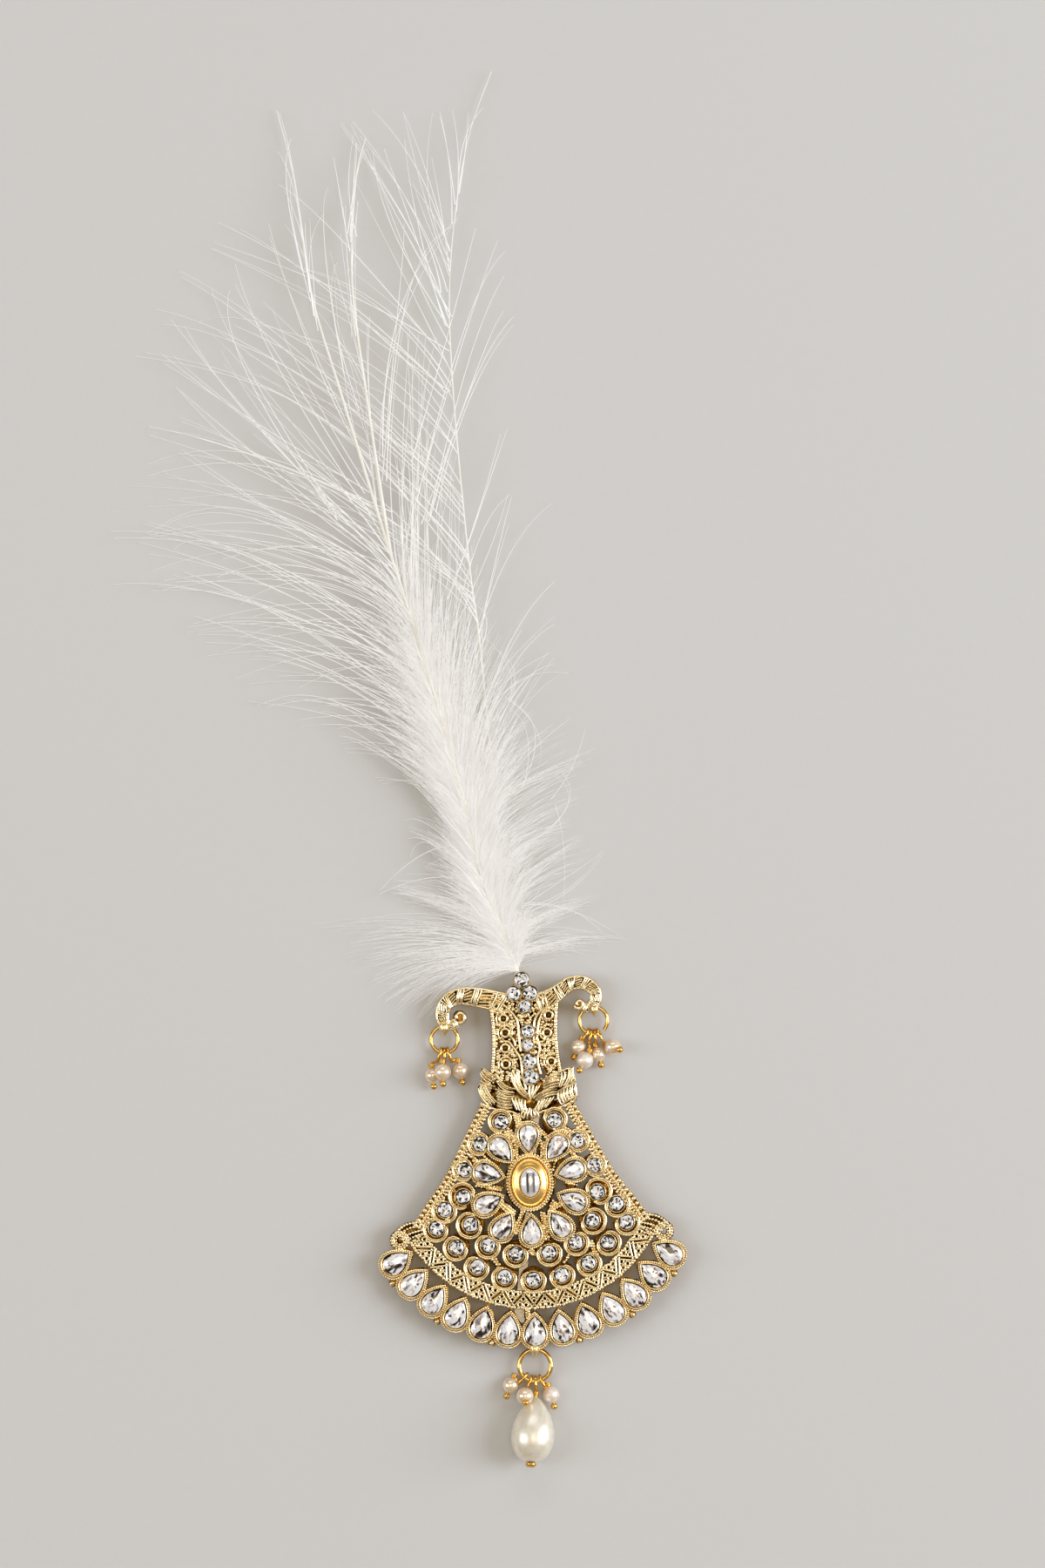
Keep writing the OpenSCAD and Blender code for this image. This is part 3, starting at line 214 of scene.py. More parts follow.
# Single barbs that stand out in the picture: their tip, a point halfway and their root there, and how
# many lie side by side
STRAYS = [
    (253, 253, 376, 330, 509, 447, 2), (246, 277, 379, 327, 516, 404, 1), (248, 281, 399, 359, 513, 453, 2),
    (209, 309, 347, 407, 513, 576, 2), (227, 370, 353, 396, 521, 553, 1), (189, 370, 330, 421, 516, 559, 2),
    (170, 400, 330, 456, 470, 576, 2), (319, 213, 396, 281, 504, 404, 1), (410, 211, 470, 330, 514, 419, 1),
    (393, 140, 461, 244, 513, 359, 3), (413, 156, 479, 253, 514, 336, 2), (427, 127, 481, 199, 516, 290, 1),
    (463, 129, 490, 199, 516, 290, 1), (444, 170, 473, 264, 514, 376, 2), (496, 181, 507, 244, 516, 313, 1),
    (507, 129, 516, 187, 519, 259, 1), (520, 127, 526, 181, 524, 244, 2), (537, 129, 535, 167, 527, 224, 2),
    (269, 304, 319, 419, 413, 573, 2), (310, 271, 353, 384, 427, 547, 2), (313, 356, 359, 453, 433, 576, 1),
    (247, 330, 293, 436, 387, 593, 2), (197, 366, 290, 481, 399, 599, 2), (187, 404, 284, 484, 439, 599, 2),
    (187, 419, 301, 490, 427, 567, 1), (207, 444, 301, 539, 421, 633, 2), (170, 490, 301, 527, 439, 587, 2),
    (170, 534, 307, 527, 456, 604, 1), (170, 543, 319, 541, 453, 616, 1), (264, 570, 353, 581, 444, 621, 1),
    (207, 520, 299, 579, 427, 653, 2), (319, 130, 339, 207, 356, 336, 1), (321, 173, 339, 224, 353, 313, 2),
    (333, 204, 338, 259, 357, 347, 1), (356, 249, 359, 301, 364, 373, 2), (350, 256, 354, 307, 361, 364, 1),
    (376, 216, 372, 279, 396, 433, 1), (383, 181, 390, 221, 402, 290, 1), (409, 164, 406, 216, 403, 279, 2),
    (419, 170, 409, 213, 402, 273, 2), (397, 236, 399, 301, 409, 387, 2), (461, 256, 456, 364, 439, 553, 1),
    (524, 253, 459, 370, 436, 530, 2), (520, 260, 467, 347, 444, 553, 1), (387, 301, 383, 359, 413, 473, 1),
    (550, 263, 521, 359, 473, 530, 1), (580, 290, 533, 381, 479, 576, 2), (576, 316, 539, 416, 493, 593, 1),
    (589, 363, 541, 444, 493, 599, 2), (590, 373, 539, 459, 501, 587, 1), (576, 499, 550, 584, 513, 690, 2),
    (584, 567, 561, 633, 524, 719, 2), (481, 501, 473, 576, 459, 667, 2), (507, 467, 484, 559, 467, 673, 2),
    (170, 613, 310, 595, 473, 717, 2), (170, 603, 330, 665, 490, 773, 3), (170, 640, 330, 680, 493, 790, 2),
    (213, 657, 357, 727, 500, 827, 3), (180, 675, 343, 707, 497, 807, 2), (133, 613, 310, 647, 487, 763, 2),
    (130, 670, 280, 690, 487, 773, 1), (230, 723, 370, 753, 507, 847, 3), (283, 758, 383, 780, 513, 870, 2),
    (307, 752, 397, 783, 507, 853, 2), (303, 807, 397, 810, 520, 897, 2), (368, 817, 430, 840, 523, 910, 2),
    (388, 833, 437, 860, 530, 930, 2), (400, 850, 460, 880, 533, 943, 2), (463, 888, 493, 917, 540, 973, 2),
    (465, 942, 497, 950, 547, 1003, 1), (468, 963, 503, 973, 553, 1027, 2), (277, 693, 377, 673, 490, 747, 1),
    (250, 660, 357, 652, 480, 720, 1), (287, 632, 377, 628, 467, 660, 1), (200, 632, 280, 627, 470, 693, 1),
    (632, 577, 577, 653, 533, 793, 1), (638, 668, 583, 747, 540, 860, 1), (637, 717, 583, 777, 543, 880, 1),
    (587, 570, 563, 670, 533, 813, 1), (580, 600, 560, 693, 537, 833, 1), (635, 763, 587, 803, 550, 907, 2),
    (642, 775, 593, 827, 553, 920, 2), (543, 693, 559, 717, 543, 760, 2), (563, 743, 591, 777, 567, 827, 3),
    (587, 807, 614, 843, 600, 903, 2), (613, 893, 618, 843, 580, 800, 1), (637, 890, 653, 920, 627, 953, 2),
    (673, 837, 657, 880, 633, 917, 1), (645, 1040, 647, 973, 637, 923, 1),
    (690, 977, 657, 1017, 603, 1043, 3), (693, 1072, 650, 1043, 600, 1037, 2),
    (490, 1012, 517, 1017, 553, 1053, 1),
]

# The picture: its pixels, their number to the millimetre, and the view from straight above it, with its
# turn in degrees
PICTURE_WIDE, PICTURE_TALL, PER_MM = 1200, 1800, 6
VIEW_MIDDLE, VIEW_TURN = (1.306, 76.08), -2.05
VIEW_TALL, VIEW_FROM, SENSOR = 0.3, 2.0, 36

def linear(hex_colour):
    """Linear red, green, blue and alpha of an sRGB hex colour."""
    channels = [int(hex_colour[i:i + 2], 16) / 255 for i in (0, 2, 4)]
    return [c / 12.92 if c <= 0.04045 else ((c + 0.055) / 1.055) ** 2.4 for c in channels] + [1.0]


# ---------------------------------------------------------------- places, curves and outlines

def within(value, low=0.0, high=1.0):
    return max(low, min(high, value))


def turned(vector, degrees):
    return Matrix.Rotation(math.radians(degrees), 2) @ vector


def on_picture(px, py):
    """Frame millimetres of a place in the picture."""
    right_up = Vector(((px - PICTURE_WIDE / 2) / PER_MM, (PICTURE_TALL / 2 - py) / PER_MM))
    right, up = turned(right_up, VIEW_TURN)
    return VIEW_MIDDLE[0] + right, VIEW_MIDDLE[1] + up


def off(spot, distance, bearing):
    """Place at a distance and bearing from a spot."""
    turn = math.radians(bearing)
    return spot[0] + distance * math.cos(turn), spot[1] + distance * math.sin(turn)


def placed(x, y, z=0.0, size=1.0):
    """Place and size of a model."""
    return Matrix.Translation((x, y, z)) @ Matrix.Scale(size, 4)


def aimed(spot, way):
    """Place of a model whose Z axis points this way."""
    return Matrix.Translation(spot) @ way.to_track_quat("Z", "Y").to_matrix().to_4x4()


def along(table, t):
    """Row of a table at t rows from its first, on a smooth curve through the rows."""
    last = len(table) - 1
    i = within(math.floor(t), 0, last - 1)
    u = t - i
    a, b, c, d = (Vector(table[within(k, 0, last)]) for k in (i - 1, i, i + 1, i + 2))
    return 0.5 * (2 * b + (c - a) * u + (2 * a - 5 * b + 4 * c - d) * u * u
                  + (3 * b - a - 3 * c + d) * u ** 3)


def even(table, steps):
    """Places at even steps along a table, counted in its rows."""
    return [(len(table) - 1) * k / steps for k in range(steps + 1)]


def heading(table, t):
    """Direction of the curve through a table."""
    return (along(table, t + 0.05) - along(table, t - 0.05)).xy.normalized()


def beside(table, t, part):
    """Place beside a strip's middle, this part of its half-width to the left, and the half-width there."""
    x, y, half = along(table, t)
    across = turned(heading(table, t), 90) * half * part
    return x + across.x, y + across.y, half


def pear(length, width, count, phase=0.0, point=PEAR_POINT):
    """Pear outline with its tip towards +Y."""
    def wave(u):
        return math.sin(u) * abs(math.sin(u / 2)) ** point
    peak = wave(2 * math.atan(math.sqrt(1 + point)))
    turns = [2 * math.pi * (k + phase) / count for k in range(count)]
    return [(width / 2 * wave(u) / peak, length / 2 * math.cos(u)) for u in turns]


def oval(width, length, count, phase=0.0):
    turns = [2 * math.pi * (k + phase) / count for k in range(count)]
    return [(width / 2 * math.cos(u), length / 2 * math.sin(u)) for u in turns]


def grown(outline, sizes, count, profile):
    """Outlines of a wall: the outline grown and raised by the steps of a profile."""
    return [(outline(*(size + 2 * grow for size in sizes), count), height) for grow, height in profile]


def turned_round(profile, count):
    """Outlines of a round shape from its radii and heights."""
    return [(oval(2 * radius, 2 * radius, count), height) for radius, height in profile]


def spaced(points, pitch, closed=True):
    """Points at an even pitch along a line, with the direction at each in degrees."""
    line = [Vector(p[:2]) for p in points] + ([Vector(points[0][:2])] if closed else [])
    lengths = [(b - a).length for a, b in zip(line, line[1:])]
    count = max(1, round(sum(lengths) / pitch))
    found, i, done = [], 0, 0.0
    for k in range(count if closed else count + 1):
        want = sum(lengths) * k / count
        while i < len(lengths) - 1 and done + lengths[i] < want:
            done += lengths[i]
            i += 1
        step = line[i + 1] - line[i]
        spot = line[i] + step * ((want - done) / max(lengths[i], 1e-6))
        found.append((spot[0], spot[1], math.degrees(math.atan2(step[1], step[0]))))
    return found


def ring_rows(x, y, radius, wire, height, count):
    return [(*off((x, y), radius, 360 * k / count), height, wire) for k in range(count)]


def petal_places():
    return [placed(r * math.sin(math.radians(a)), r * math.cos(math.radians(a)))
            @ Matrix.Rotation(math.radians(180 - a), 4, "Z") for r, a in PETALS]


def rim_place(step, radius=RIM_R - RIM_SHIFT):
    """Place on the rim, in steps of its stones from the middle."""
    return placed(0, RIM_Y) @ Matrix.Rotation(math.radians(step * RIM_PITCH), 4, "Z") @ placed(0, -radius)


def rim_places():
    return [rim_place(k) for k in range(-RIM_HALF, RIM_HALF + 1)]


def milgrain(outline, places, height, pitch, radius):
    """Places of the grains along an outline that is itself at each of these places."""
    grains = [placed(x, y, height, radius) @ Matrix.Rotation(math.radians(turn), 4, "Z")
              for x, y, turn in spaced(outline, pitch)]
    return [place @ grain for place in places for grain in grains]


# ---------------------------------------------------------------- modelling by hand

WELD = 0.0005


def only(*objects):
    """Selects these objects, out of edit mode, with the first one active."""
    if bpy.context.object and bpy.context.object.mode != "OBJECT":
        bpy.ops.object.mode_set(mode="OBJECT")
    bpy.ops.object.select_all(action="DESELECT")
    for obj in reversed(objects):
        obj.select_set(True)
        bpy.context.view_layer.objects.active = obj


def linked(name, data):
    obj = bpy.data.objects.new(name, data)
    bpy.context.collection.objects.link(obj)
    return obj


def by_angle(point):
    return math.atan2(point[1], point[0])


def built_up(outlines, top=None):
    """A shape of stacked outlines: a circle is fitted to the first, then extruded to each next one.

    An outline is its points and its height. With a top, the first one is filled, and the last one
    runs up to a middle point at that height. Without one, the last joins the first, as in a collet.
    """
    only()
    bpy.ops.mesh.primitive_circle_add(vertices=len(outlines[0][0]), radius=1)
    obj = bpy.context.object
    bpy.ops.object.mode_set(mode="EDIT")
    bpy.ops.mesh.select_all(action="SELECT")
    for step, (points, height) in enumerate(outlines):
        if step:
            bpy.ops.mesh.extrude_region_move()
        elif top is not None:
            bpy.ops.mesh.edge_face_add()
            bpy.ops.mesh.select_all(action="SELECT")
        mesh = bmesh.from_edit_mesh(obj.data)
        loop = sorted((v for v in mesh.verts if v.select), key=lambda v: by_angle(v.co))
        for vert, point in zip(loop, sorted(points, key=by_angle)):
            vert.co = (*point, height)
        bmesh.update_edit_mesh(obj.data)
    if top is None:
        mesh = bmesh.from_edit_mesh(obj.data)
        for edge in mesh.edges:
            edge.select = edge.is_boundary
        bmesh.update_edit_mesh(obj.data)
        bpy.ops.mesh.bridge_edge_loops()
    else:
        bpy.ops.mesh.extrude_region_move()
        bpy.ops.mesh.merge(type="CENTER")
        mesh = bmesh.from_edit_mesh(obj.data)
        for vert in mesh.verts:
            if vert.select:
                vert.co.z = top
    bpy.ops.mesh.select_all(action="SELECT")
    bpy.ops.mesh.remove_doubles(threshold=WELD)
    bpy.ops.mesh.normals_make_consistent(inside=False)
    bpy.ops.object.mode_set(mode="OBJECT")
    return obj


def facet_order(face):
    """Rank of a face by its height, and at one height by its angle round the stone. The angle starts off
    the axis, where no face lies astride its start."""
    return 1000 * face.center.z + by_angle(turned(face.center.xy, 1))


def faceted(obj, shades, seed):
    """Gives each facet of a stone its own share of painted light, the steep sides the darkest, and the stone
    its own place in the painted reflection streaks. The order of the faces differs from run to run, so they
    are taken in an order of places."""
    chance = random.Random(seed)
    layer = obj.data.attributes.new("facet", "FLOAT", "FACE")
    for face in sorted(obj.data.polygons, key=facet_order):
        layer.data[face.index].value = chance.choice(shades) if face.normal.z > 0.5 else min(shades) - 2
    painted_streaks = obj.data.attributes.new("cut", "FLOAT_VECTOR", "POINT")
    shift = chance.uniform(0, 50)
    for vert, value in zip(obj.data.vertices, painted_streaks.data):
        value.vector = (vert.co.x, vert.co.y, shift)
    return obj


def softened(obj, degrees):
    """Shades a model smooth but for edges sharper than this."""
    only(obj)
    bpy.ops.object.shade_smooth_by_angle(angle=math.radians(degrees))
    return obj


def ball(segments, rings):
    """A smooth ball of radius 1."""
    only()
    bpy.ops.mesh.primitive_uv_sphere_add(segments=segments, ring_count=rings, radius=1)
    return softened(bpy.context.object, 180)


def copied(model, places):
    """One mesh of many copies of a model, each in its own place."""
    verts, faces = [], []
    own = [v.co.copy() for v in model.data.vertices]
    own_faces = [tuple(p.vertices) for p in model.data.polygons]
    smooth = [p.use_smooth for p in model.data.polygons]
    for place in places:
        start = len(verts)
        verts += [place @ v for v in own]
        faces += [tuple(start + i for i in face) for face in own_faces]
    mesh = bpy.data.meshes.new("copies")
    mesh.from_pydata(verts, [], faces)
    mesh.polygons.foreach_set("use_smooth", smooth * len(places))
    bpy.data.objects.remove(model)
    return linked("copies", mesh)


def grained(places):
    """Grains of cast metal: low balls of a few dozen faces."""
    return copied(ball(8, 6), places)


def wired(strands, smoothness):
    """A mesh of round wires, drawn as curves. A strand is its rows of x, y, height, radius and
    whether it closes on itself."""
    curve = bpy.data.curves.new("wire", "CURVE")
    curve.dimensions = "3D"
    curve.bevel_depth = 1
    curve.bevel_resolution = smoothness
    curve.use_fill_caps = True
    for rows, loop in strands:
        spline = curve.splines.new("POLY")
        spline.points.add(len(rows) - 1)
        spline.points.foreach_set("co", [c for r in rows for c in (*r[:3], 1)])
        spline.points.foreach_set("radius", [r[3] for r in rows])
        spline.use_cyclic_u = loop
    obj = linked("wire", curve)
    only(obj)
    bpy.ops.object.convert(target="MESH")
    bpy.ops.object.shade_smooth()
    return obj


def joined(*objects):
    only(*objects)
    if len(objects) > 1:
        bpy.ops.object.join()
    return objects[0]


def piece(obj, name, material, node):
    """Names a finished piece, brings it from millimetres to the frame and fastens it there."""
    obj.name = obj.data.name = name
    obj.data.transform(Matrix.Scale(MM, 4) @ Matrix.Translation((0, 0, SURFACE)))
    obj.data.materials.clear()
    obj.data.materials.append(MATERIALS[material])
    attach(obj, "root")
    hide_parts(node)


def cast_piece(name, *parts, material="cast"):
    piece(joined(*parts), name, material, "casting")


def dressed(node, obj, material):
    """A piece that shows one whole node."""
    piece(obj, "dressed_" + node, material, node)


# ---------------------------------------------------------------- materials

def fill(socket, value):
    """Gives an input a value, or links another node's output to it."""
    if isinstance(value, bpy.types.NodeSocket):
        socket.id_data.links.new(value, socket)
    else:
        socket.default_value = value


def add_node(tree, kind, settings=None, **inputs):
    """Adds a node with its settings; an input is a value or another node's output."""
    node = tree.nodes.new(kind)
    for key, value in (settings or {}).items():
        setattr(node, key, value)
    for key, value in inputs.items():
        fill(node.inputs[key.replace("_", " ")], value)
    return node


def new_material(name, **inputs):
    """A material of one Principled shader, and that shader."""
    material = bpy.data.materials.new(name)
    material.use_nodes = True
    tree = material.node_tree
    tree.nodes.clear()
    shader = add_node(tree, "ShaderNodeBsdfPrincipled", **inputs)
    add_node(tree, "ShaderNodeOutputMaterial", Surface=shader.outputs["BSDF"])
    return material, tree, shader


def place_noise(tree, millimetres, detail):
    """Noise in Object coordinates whose lumps are about this size."""
    coordinates = add_node(tree, "ShaderNodeTexCoord")
    return add_node(tree, "ShaderNodeTexNoise", Vector=coordinates.outputs["Object"],
                    Scale=1 / (millimetres * MM), Detail=detail).outputs["Fac"]


def ramp(tree, factor, *stops):
    """Colours at their places along a factor."""
    node = add_node(tree, "ShaderNodeValToRGB", Fac=factor)
    while len(node.color_ramp.elements) < len(stops):
        node.color_ramp.elements.new(0.5)
    for element, (place, colour) in zip(node.color_ramp.elements, stops):
        element.position = place
        element.color = linear(colour)
    return node.outputs["Color"]


def spread(tree, vector, axis, low, high):
    """0 to 1 between two places on an axis of a vector."""
    parts = add_node(tree, "ShaderNodeSeparateXYZ", Vector=vector)
    return add_node(tree, "ShaderNodeMapRange", Value=parts.outputs[axis], From_Min=low,
                    From_Max=high).outputs["Result"]


def weighed(tree, value, share, base, clamp=False):
    """A share of a value on top of a base."""
    node = add_node(tree, "ShaderNodeMath", {"operation": "MULTIPLY_ADD", "use_clamp": clamp})
    for socket, given in zip(node.inputs, (value, share, base)):
        fill(socket, given)
    return node.outputs["Value"]


def roughened(tree, shader, noise, strength, millimetres):
    """Lets a noise raise a shader's skin by this much."""
    bump = add_node(tree, "ShaderNodeBump", Height=noise, Strength=strength, Distance=millimetres * MM)
    fill(shader.inputs["Normal"], bump.outputs["Normal"])


def mottled(name, lump, detail, colours, high=0.7, **inputs):
    """A material whose colour wanders between two, in lumps of this size."""
    material, tree, shader = new_material(name, **inputs)
    cloud = place_noise(tree, lump, detail)
    fill(shader.inputs["Base Color"], ramp(tree, cloud, (0.3, colours[0]), (high, colours[1])))
    return material, tree, shader, cloud


# Heights between which the cast gold runs from painted shade in the recesses to a painted highlight on top
PAINTED_LIGHT_HEIGHTS = (2.2, 4.2)


def cast_brass(name, *stops):
    """Lost-wax brass with a thin pale gold plate: lumpy skin, brown tarnish and painted shade in the
    recesses, and a painted highlight on the highest relief.
    """
    material, tree, shader = new_material(name, Metallic=1.0)
    grain = place_noise(tree, 0.45, 3)
    coordinates = add_node(tree, "ShaderNodeTexCoord")
    low, high = ((height + SURFACE) * MM for height in PAINTED_LIGHT_HEIGHTS)
    height = spread(tree, coordinates.outputs["Object"], "Z", low, high)
    fill(shader.inputs["Base Color"], ramp(tree, weighed(tree, grain, 0.14, height), *stops))
    wear = add_node(tree, "ShaderNodeMapRange", Value=grain, To_Min=0.26, To_Max=0.12)
    fill(shader.inputs["Roughness"], wear.outputs["Result"])
    roughened(tree, shader, place_noise(tree, 0.35, 2), 0.35, 0.1)
    return material


def polished_gold(name, colours, roughness):
    """Drawn and polished wire or pressed cup with a gold plate: near mirror, with faint draw marks."""
    material, tree, shader, marks = mottled(name, 0.6, 2, colours, Metallic=1.0, Roughness=roughness)
    roughened(tree, shader, marks, 0.15, 0.05)
    return material


GLASS_COAT = {"Coat_Weight": 1.0, "Coat_Roughness": 0.03}
# Painted reflections of the foiled stones: colours along the streak noise of the pears, and along the share
# of light of a facet.
PAINTED_STREAK_COLOURS = ((0.3, "17110F"), (0.35, "6B5C55"), (0.4, "D3C6C0"), (0.46, "FFFFFF"), (0.59, "FFFFFF"),
                (0.66, "DECFC6"), (0.75, "8F8076"))
PAINTED_FACET_COLOURS = ((0.0, "1A1412"), (0.3, "5C524D"), (0.6, "D5CDC7"), (1.0, "FFFDF9"))
# The painted reflection of an upright window across the centre stone, and how it fades out along it
PAINTED_WINDOW = ((0, "B9B6B4"), (0.1, "FFFFFF"), (0.3, "FFFFFF"), (0.36, "2E2A2A"), (0.41, "4A4646"),
          (0.47, "D5D2D0"), (0.6, "C9C6C4"), (0.68, "6E6A69"), (0.72, "8A8685"), (0.78, "FFFFFF"),
          (1, "E4E1DF"))
PAINTED_WINDOW_ENDS = ((0.1, "000000"), (0.2, "FFFFFF"), (0.8, "FFFFFF"), (0.88, "000000"))


def foiled_glass(name, painted_streaks=None):
    """Clear glass stone with a silver foil back, its reflections painted into its colour: mostly white, with
    painted dark reflections on chosen facets and, on the pears, in painted streaks along the stone."""
    material, tree, shader = new_material(name, Metallic=0.3, Roughness=0.12, **GLASS_COAT)
    factor = add_node(tree, "ShaderNodeAttribute", {"attribute_name": "facet"}).outputs["Fac"]
    if painted_streaks:
        place = add_node(tree, "ShaderNodeAttribute", {"attribute_name": "cut"})
        stretched = add_node(tree, "ShaderNodeMapping", Vector=place.outputs["Vector"], Scale=painted_streaks)
        streak_noise = add_node(tree, "ShaderNodeTexNoise", Vector=stretched.outputs["Vector"], Scale=1.0,
                         Detail=1.0, Distortion=0.7)
        factor = weighed(tree, factor, 0.1, streak_noise.outputs["Fac"], True)
    fill(shader.inputs["Base Color"], ramp(tree, factor, *(PAINTED_STREAK_COLOURS if painted_streaks else PAINTED_FACET_COLOURS)))
    return material


def windowed_glass(name):
    """Clear glass dome with a foil back, with the reflection of an upright window painted into its colour:
    white with painted dark sides to the window.
    """
    material, tree, shader = new_material(name, Metallic=0.4, Roughness=0.15, **GLASS_COAT)
    place = add_node(tree, "ShaderNodeAttribute", {"attribute_name": "cut"}).outputs["Vector"]
    sides, ends = (ramp(tree, spread(tree, place, axis, -size / 2, size / 2), *stops)
                   for axis, size, stops in zip("XY", CENTRE_STONE, (PAINTED_WINDOW, PAINTED_WINDOW_ENDS)))
    tint = add_node(tree, "ShaderNodeMix", {"data_type": "RGBA"}, Factor=ends, A=linear("F6F4F2"), B=sides)
    fill(shader.inputs["Base Color"], tint.outputs["Result"])
    return material


def pearl_lacquer(name, colours, roughness, lump, strength):
    """Glass bead under coats of pearl essence: soft sheen below a clear coat."""
    material, tree, shader, _ = mottled(name, 1.1, 3, colours, 0.6, Metallic=0.5, Roughness=roughness,
                                        Coat_Weight=0.5, Coat_Roughness=0.12)
    roughened(tree, shader, place_noise(tree, lump, 2), strength, 0.1)
    return material


def steel_wire(name, colours):
    """Nickel-plated steel of the brooch pin: grey, with a faint mottle."""
    return mottled(name, 0.5, 3, colours, Metallic=1.0, Roughness=0.3)[0]


def keratin(name, colours, roughness, painted_glow):
    """Undyed feather keratin: white and dull, with a painted glow that stands in for light through its thin
    barbs.
    """
    return mottled(name, 4.0, 2, colours, Roughness=roughness, Sheen_Weight=0.4,
                   Emission_Color=linear("FFFFFF"), Emission_Strength=painted_glow)[0]


MATERIALS = {}


def make_materials():
    # Stops of the cast gold run by height: the dark brown band is painted shade with the brown tarnish of the
    # recesses, and the palest stops, on the lugs too, are painted highlights on the tops.
    MATERIALS.update(
        cast=cast_brass("gold_plated_cast_brass", (0.0, "DDB86C"), (0.6, "D8AE5C"), (0.67, "432B0B"),
                        (0.75, "855C1F"), (0.82, "DEB76A"), (0.95, "FCE9BC")),
        lug=cast_brass("gold_plated_brass_lugs", (0.0, "DDAE5E"), (0.9, "FBE2A8")),
        wire=polished_gold("polished_gold_pins", ("E0A23A", "F4CC72"), 0.14),
        ring=polished_gold("polished_gold_rings", ("D8A54E", "F3D48C"), 0.12),
        cup=polished_gold("polished_gold_cup", ("FCC564", "FFDC90"), 0.24),
        stone=foiled_glass("foiled_glass_round"),
        pear=foiled_glass("foiled_glass_pear", (0.8, 0.3, 1.0)),
        dome=windowed_glass("foiled_glass_dome"),
        pearl=pearl_lacquer("pearl_lacquer_cream", ("F0D2A8", "FCEBD2"), 0.24, 0.5, 0.12),
        matt=pearl_lacquer("pearl_lacquer_matt", ("EFDAC2", "FCF1E4"), 0.4, 0.25, 0.6),
        drop=pearl_lacquer("pearl_lacquer_ivory", ("EEE2C9", "F7F0DE"), 0.36, 6.0, 0.01),
        steel=steel_wire("nickel_plated_steel", ("8F8A82", "A8A39B")),
        # The last number of each feather material is the strength of its painted glow.
        barb=keratin("feather_barb", ("EDEAE3", "F6F4EE"), 0.6, 0.13),
        down=keratin("feather_down", ("E9E6E0", "EFECE7"), 0.8, 0.165),
        quill=keratin("feather_quill", ("E6E2D2", "F0ECE0"), 0.4, 0.05),
    )


# ---------------------------------------------------------------- collets, stones and cup

PETAL_TOP, RIM_TOP = 5.0, 4.7
# Walls, by steps of growth from the stone's outline and height. A collet has a groove between stone
# and bezel (its steps are below its top), low enough for the cast colour to paint it as a dark line of
# painted shade, and a low ledge outside the bezel for the milgrain.
GROOVE = [(-0.06, SEAT), (-0.04, 3.56), (0.09, 3.6)]
BEZEL = [(0.1, -0.3), (0.13, -0.06), (0.2, 0.06), (0.28, 0.08), (0.36, -0.04), (0.42, -0.4)]
LEDGE = [(0.44, 3.7), (0.78, 3.6), (0.8, PLATE_TOP - 0.05)]
LEDGE_MIDDLE = 0.68
CUP_WALL = [(0.0, SEAT), (0.0, 4.2), (0.1, 4.4), (0.3, 4.45), (0.45, 4.3), (0.7, 4.0), (0.75, PLATE_TOP)]
SCROLL_WALL = [(-0.14, SEAT), (-0.12, 3.58), (-0.03, 3.6), (-0.02, 3.9), (0.04, 4.0), (0.13, 3.98),
               (0.21, 3.8), (0.25, 3.5)]
NECK_WALL = [(0.02, SEAT), (0.02, 4.2), (0.08, 4.42), (0.18, 4.44), (0.26, 4.2), (0.3, 3.5)]
# Rows of milgrain round the centre cup: width, length, height, share of the pitch
CUP_MILGRAIN = [(7.75, 9.95, 4.4, 1.2), (8.7, 10.8, 3.9, 1.4)]
# Wires of a scroll ring: inset from its radius, height, radius at the ends, swelling between them
SCROLL_WIRES = [(0.2, 4.1, 0.14, 0.09), (0.54, 3.84, 0.12, 0.04), (0.38, 3.58, 0.24, 0.04)]
SCROLL_SHIFT, SCROLL_GAP, SCROLL_CURL, SCROLL_STEPS = -0.16, 36, 0.5, 24
SCROLL_BALL, SCROLL_BALL_IN, SCROLL_BALL_H = 0.32, 0.76, 3.95
# Webs: half-width with no row and what each row adds, height, distance of the rows, height of the grains
WEB_HALF, WEB_ROW_HALF, WEB_H, WEB_ROW, WEB_GRAIN_H = 0.2, 0.25, 3.0, 0.52, 3.72


def make_plate():
    """The pierced plate: the casting with its relief pressed flat, to carry the finer relief. Its top lies at
    heights that the cast colour paints dark, as painted shade between the relief.
    """
    obj = linked("plate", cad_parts["casting"].data.copy())
    obj.data.transform(Matrix.Translation((0, 0, -SURFACE)) @ Matrix.Scale(1 / MM, 4))
    only(obj)
    bpy.ops.object.mode_set(mode="EDIT")
    bpy.ops.mesh.select_all(action="SELECT")
    bpy.ops.mesh.remove_doubles(threshold=WELD)
    mesh = bmesh.from_edit_mesh(obj.data)
    for vert in mesh.verts:
        if vert.co.z > PLATE_TOP:
            vert.co.z = PLATE_TOP + (vert.co.z - PLATE_TOP) * 0.1
    bmesh.update_edit_mesh(obj.data)
    bpy.ops.object.mode_set(mode="OBJECT")
    cast_piece("casting_plate", softened(obj, 30))


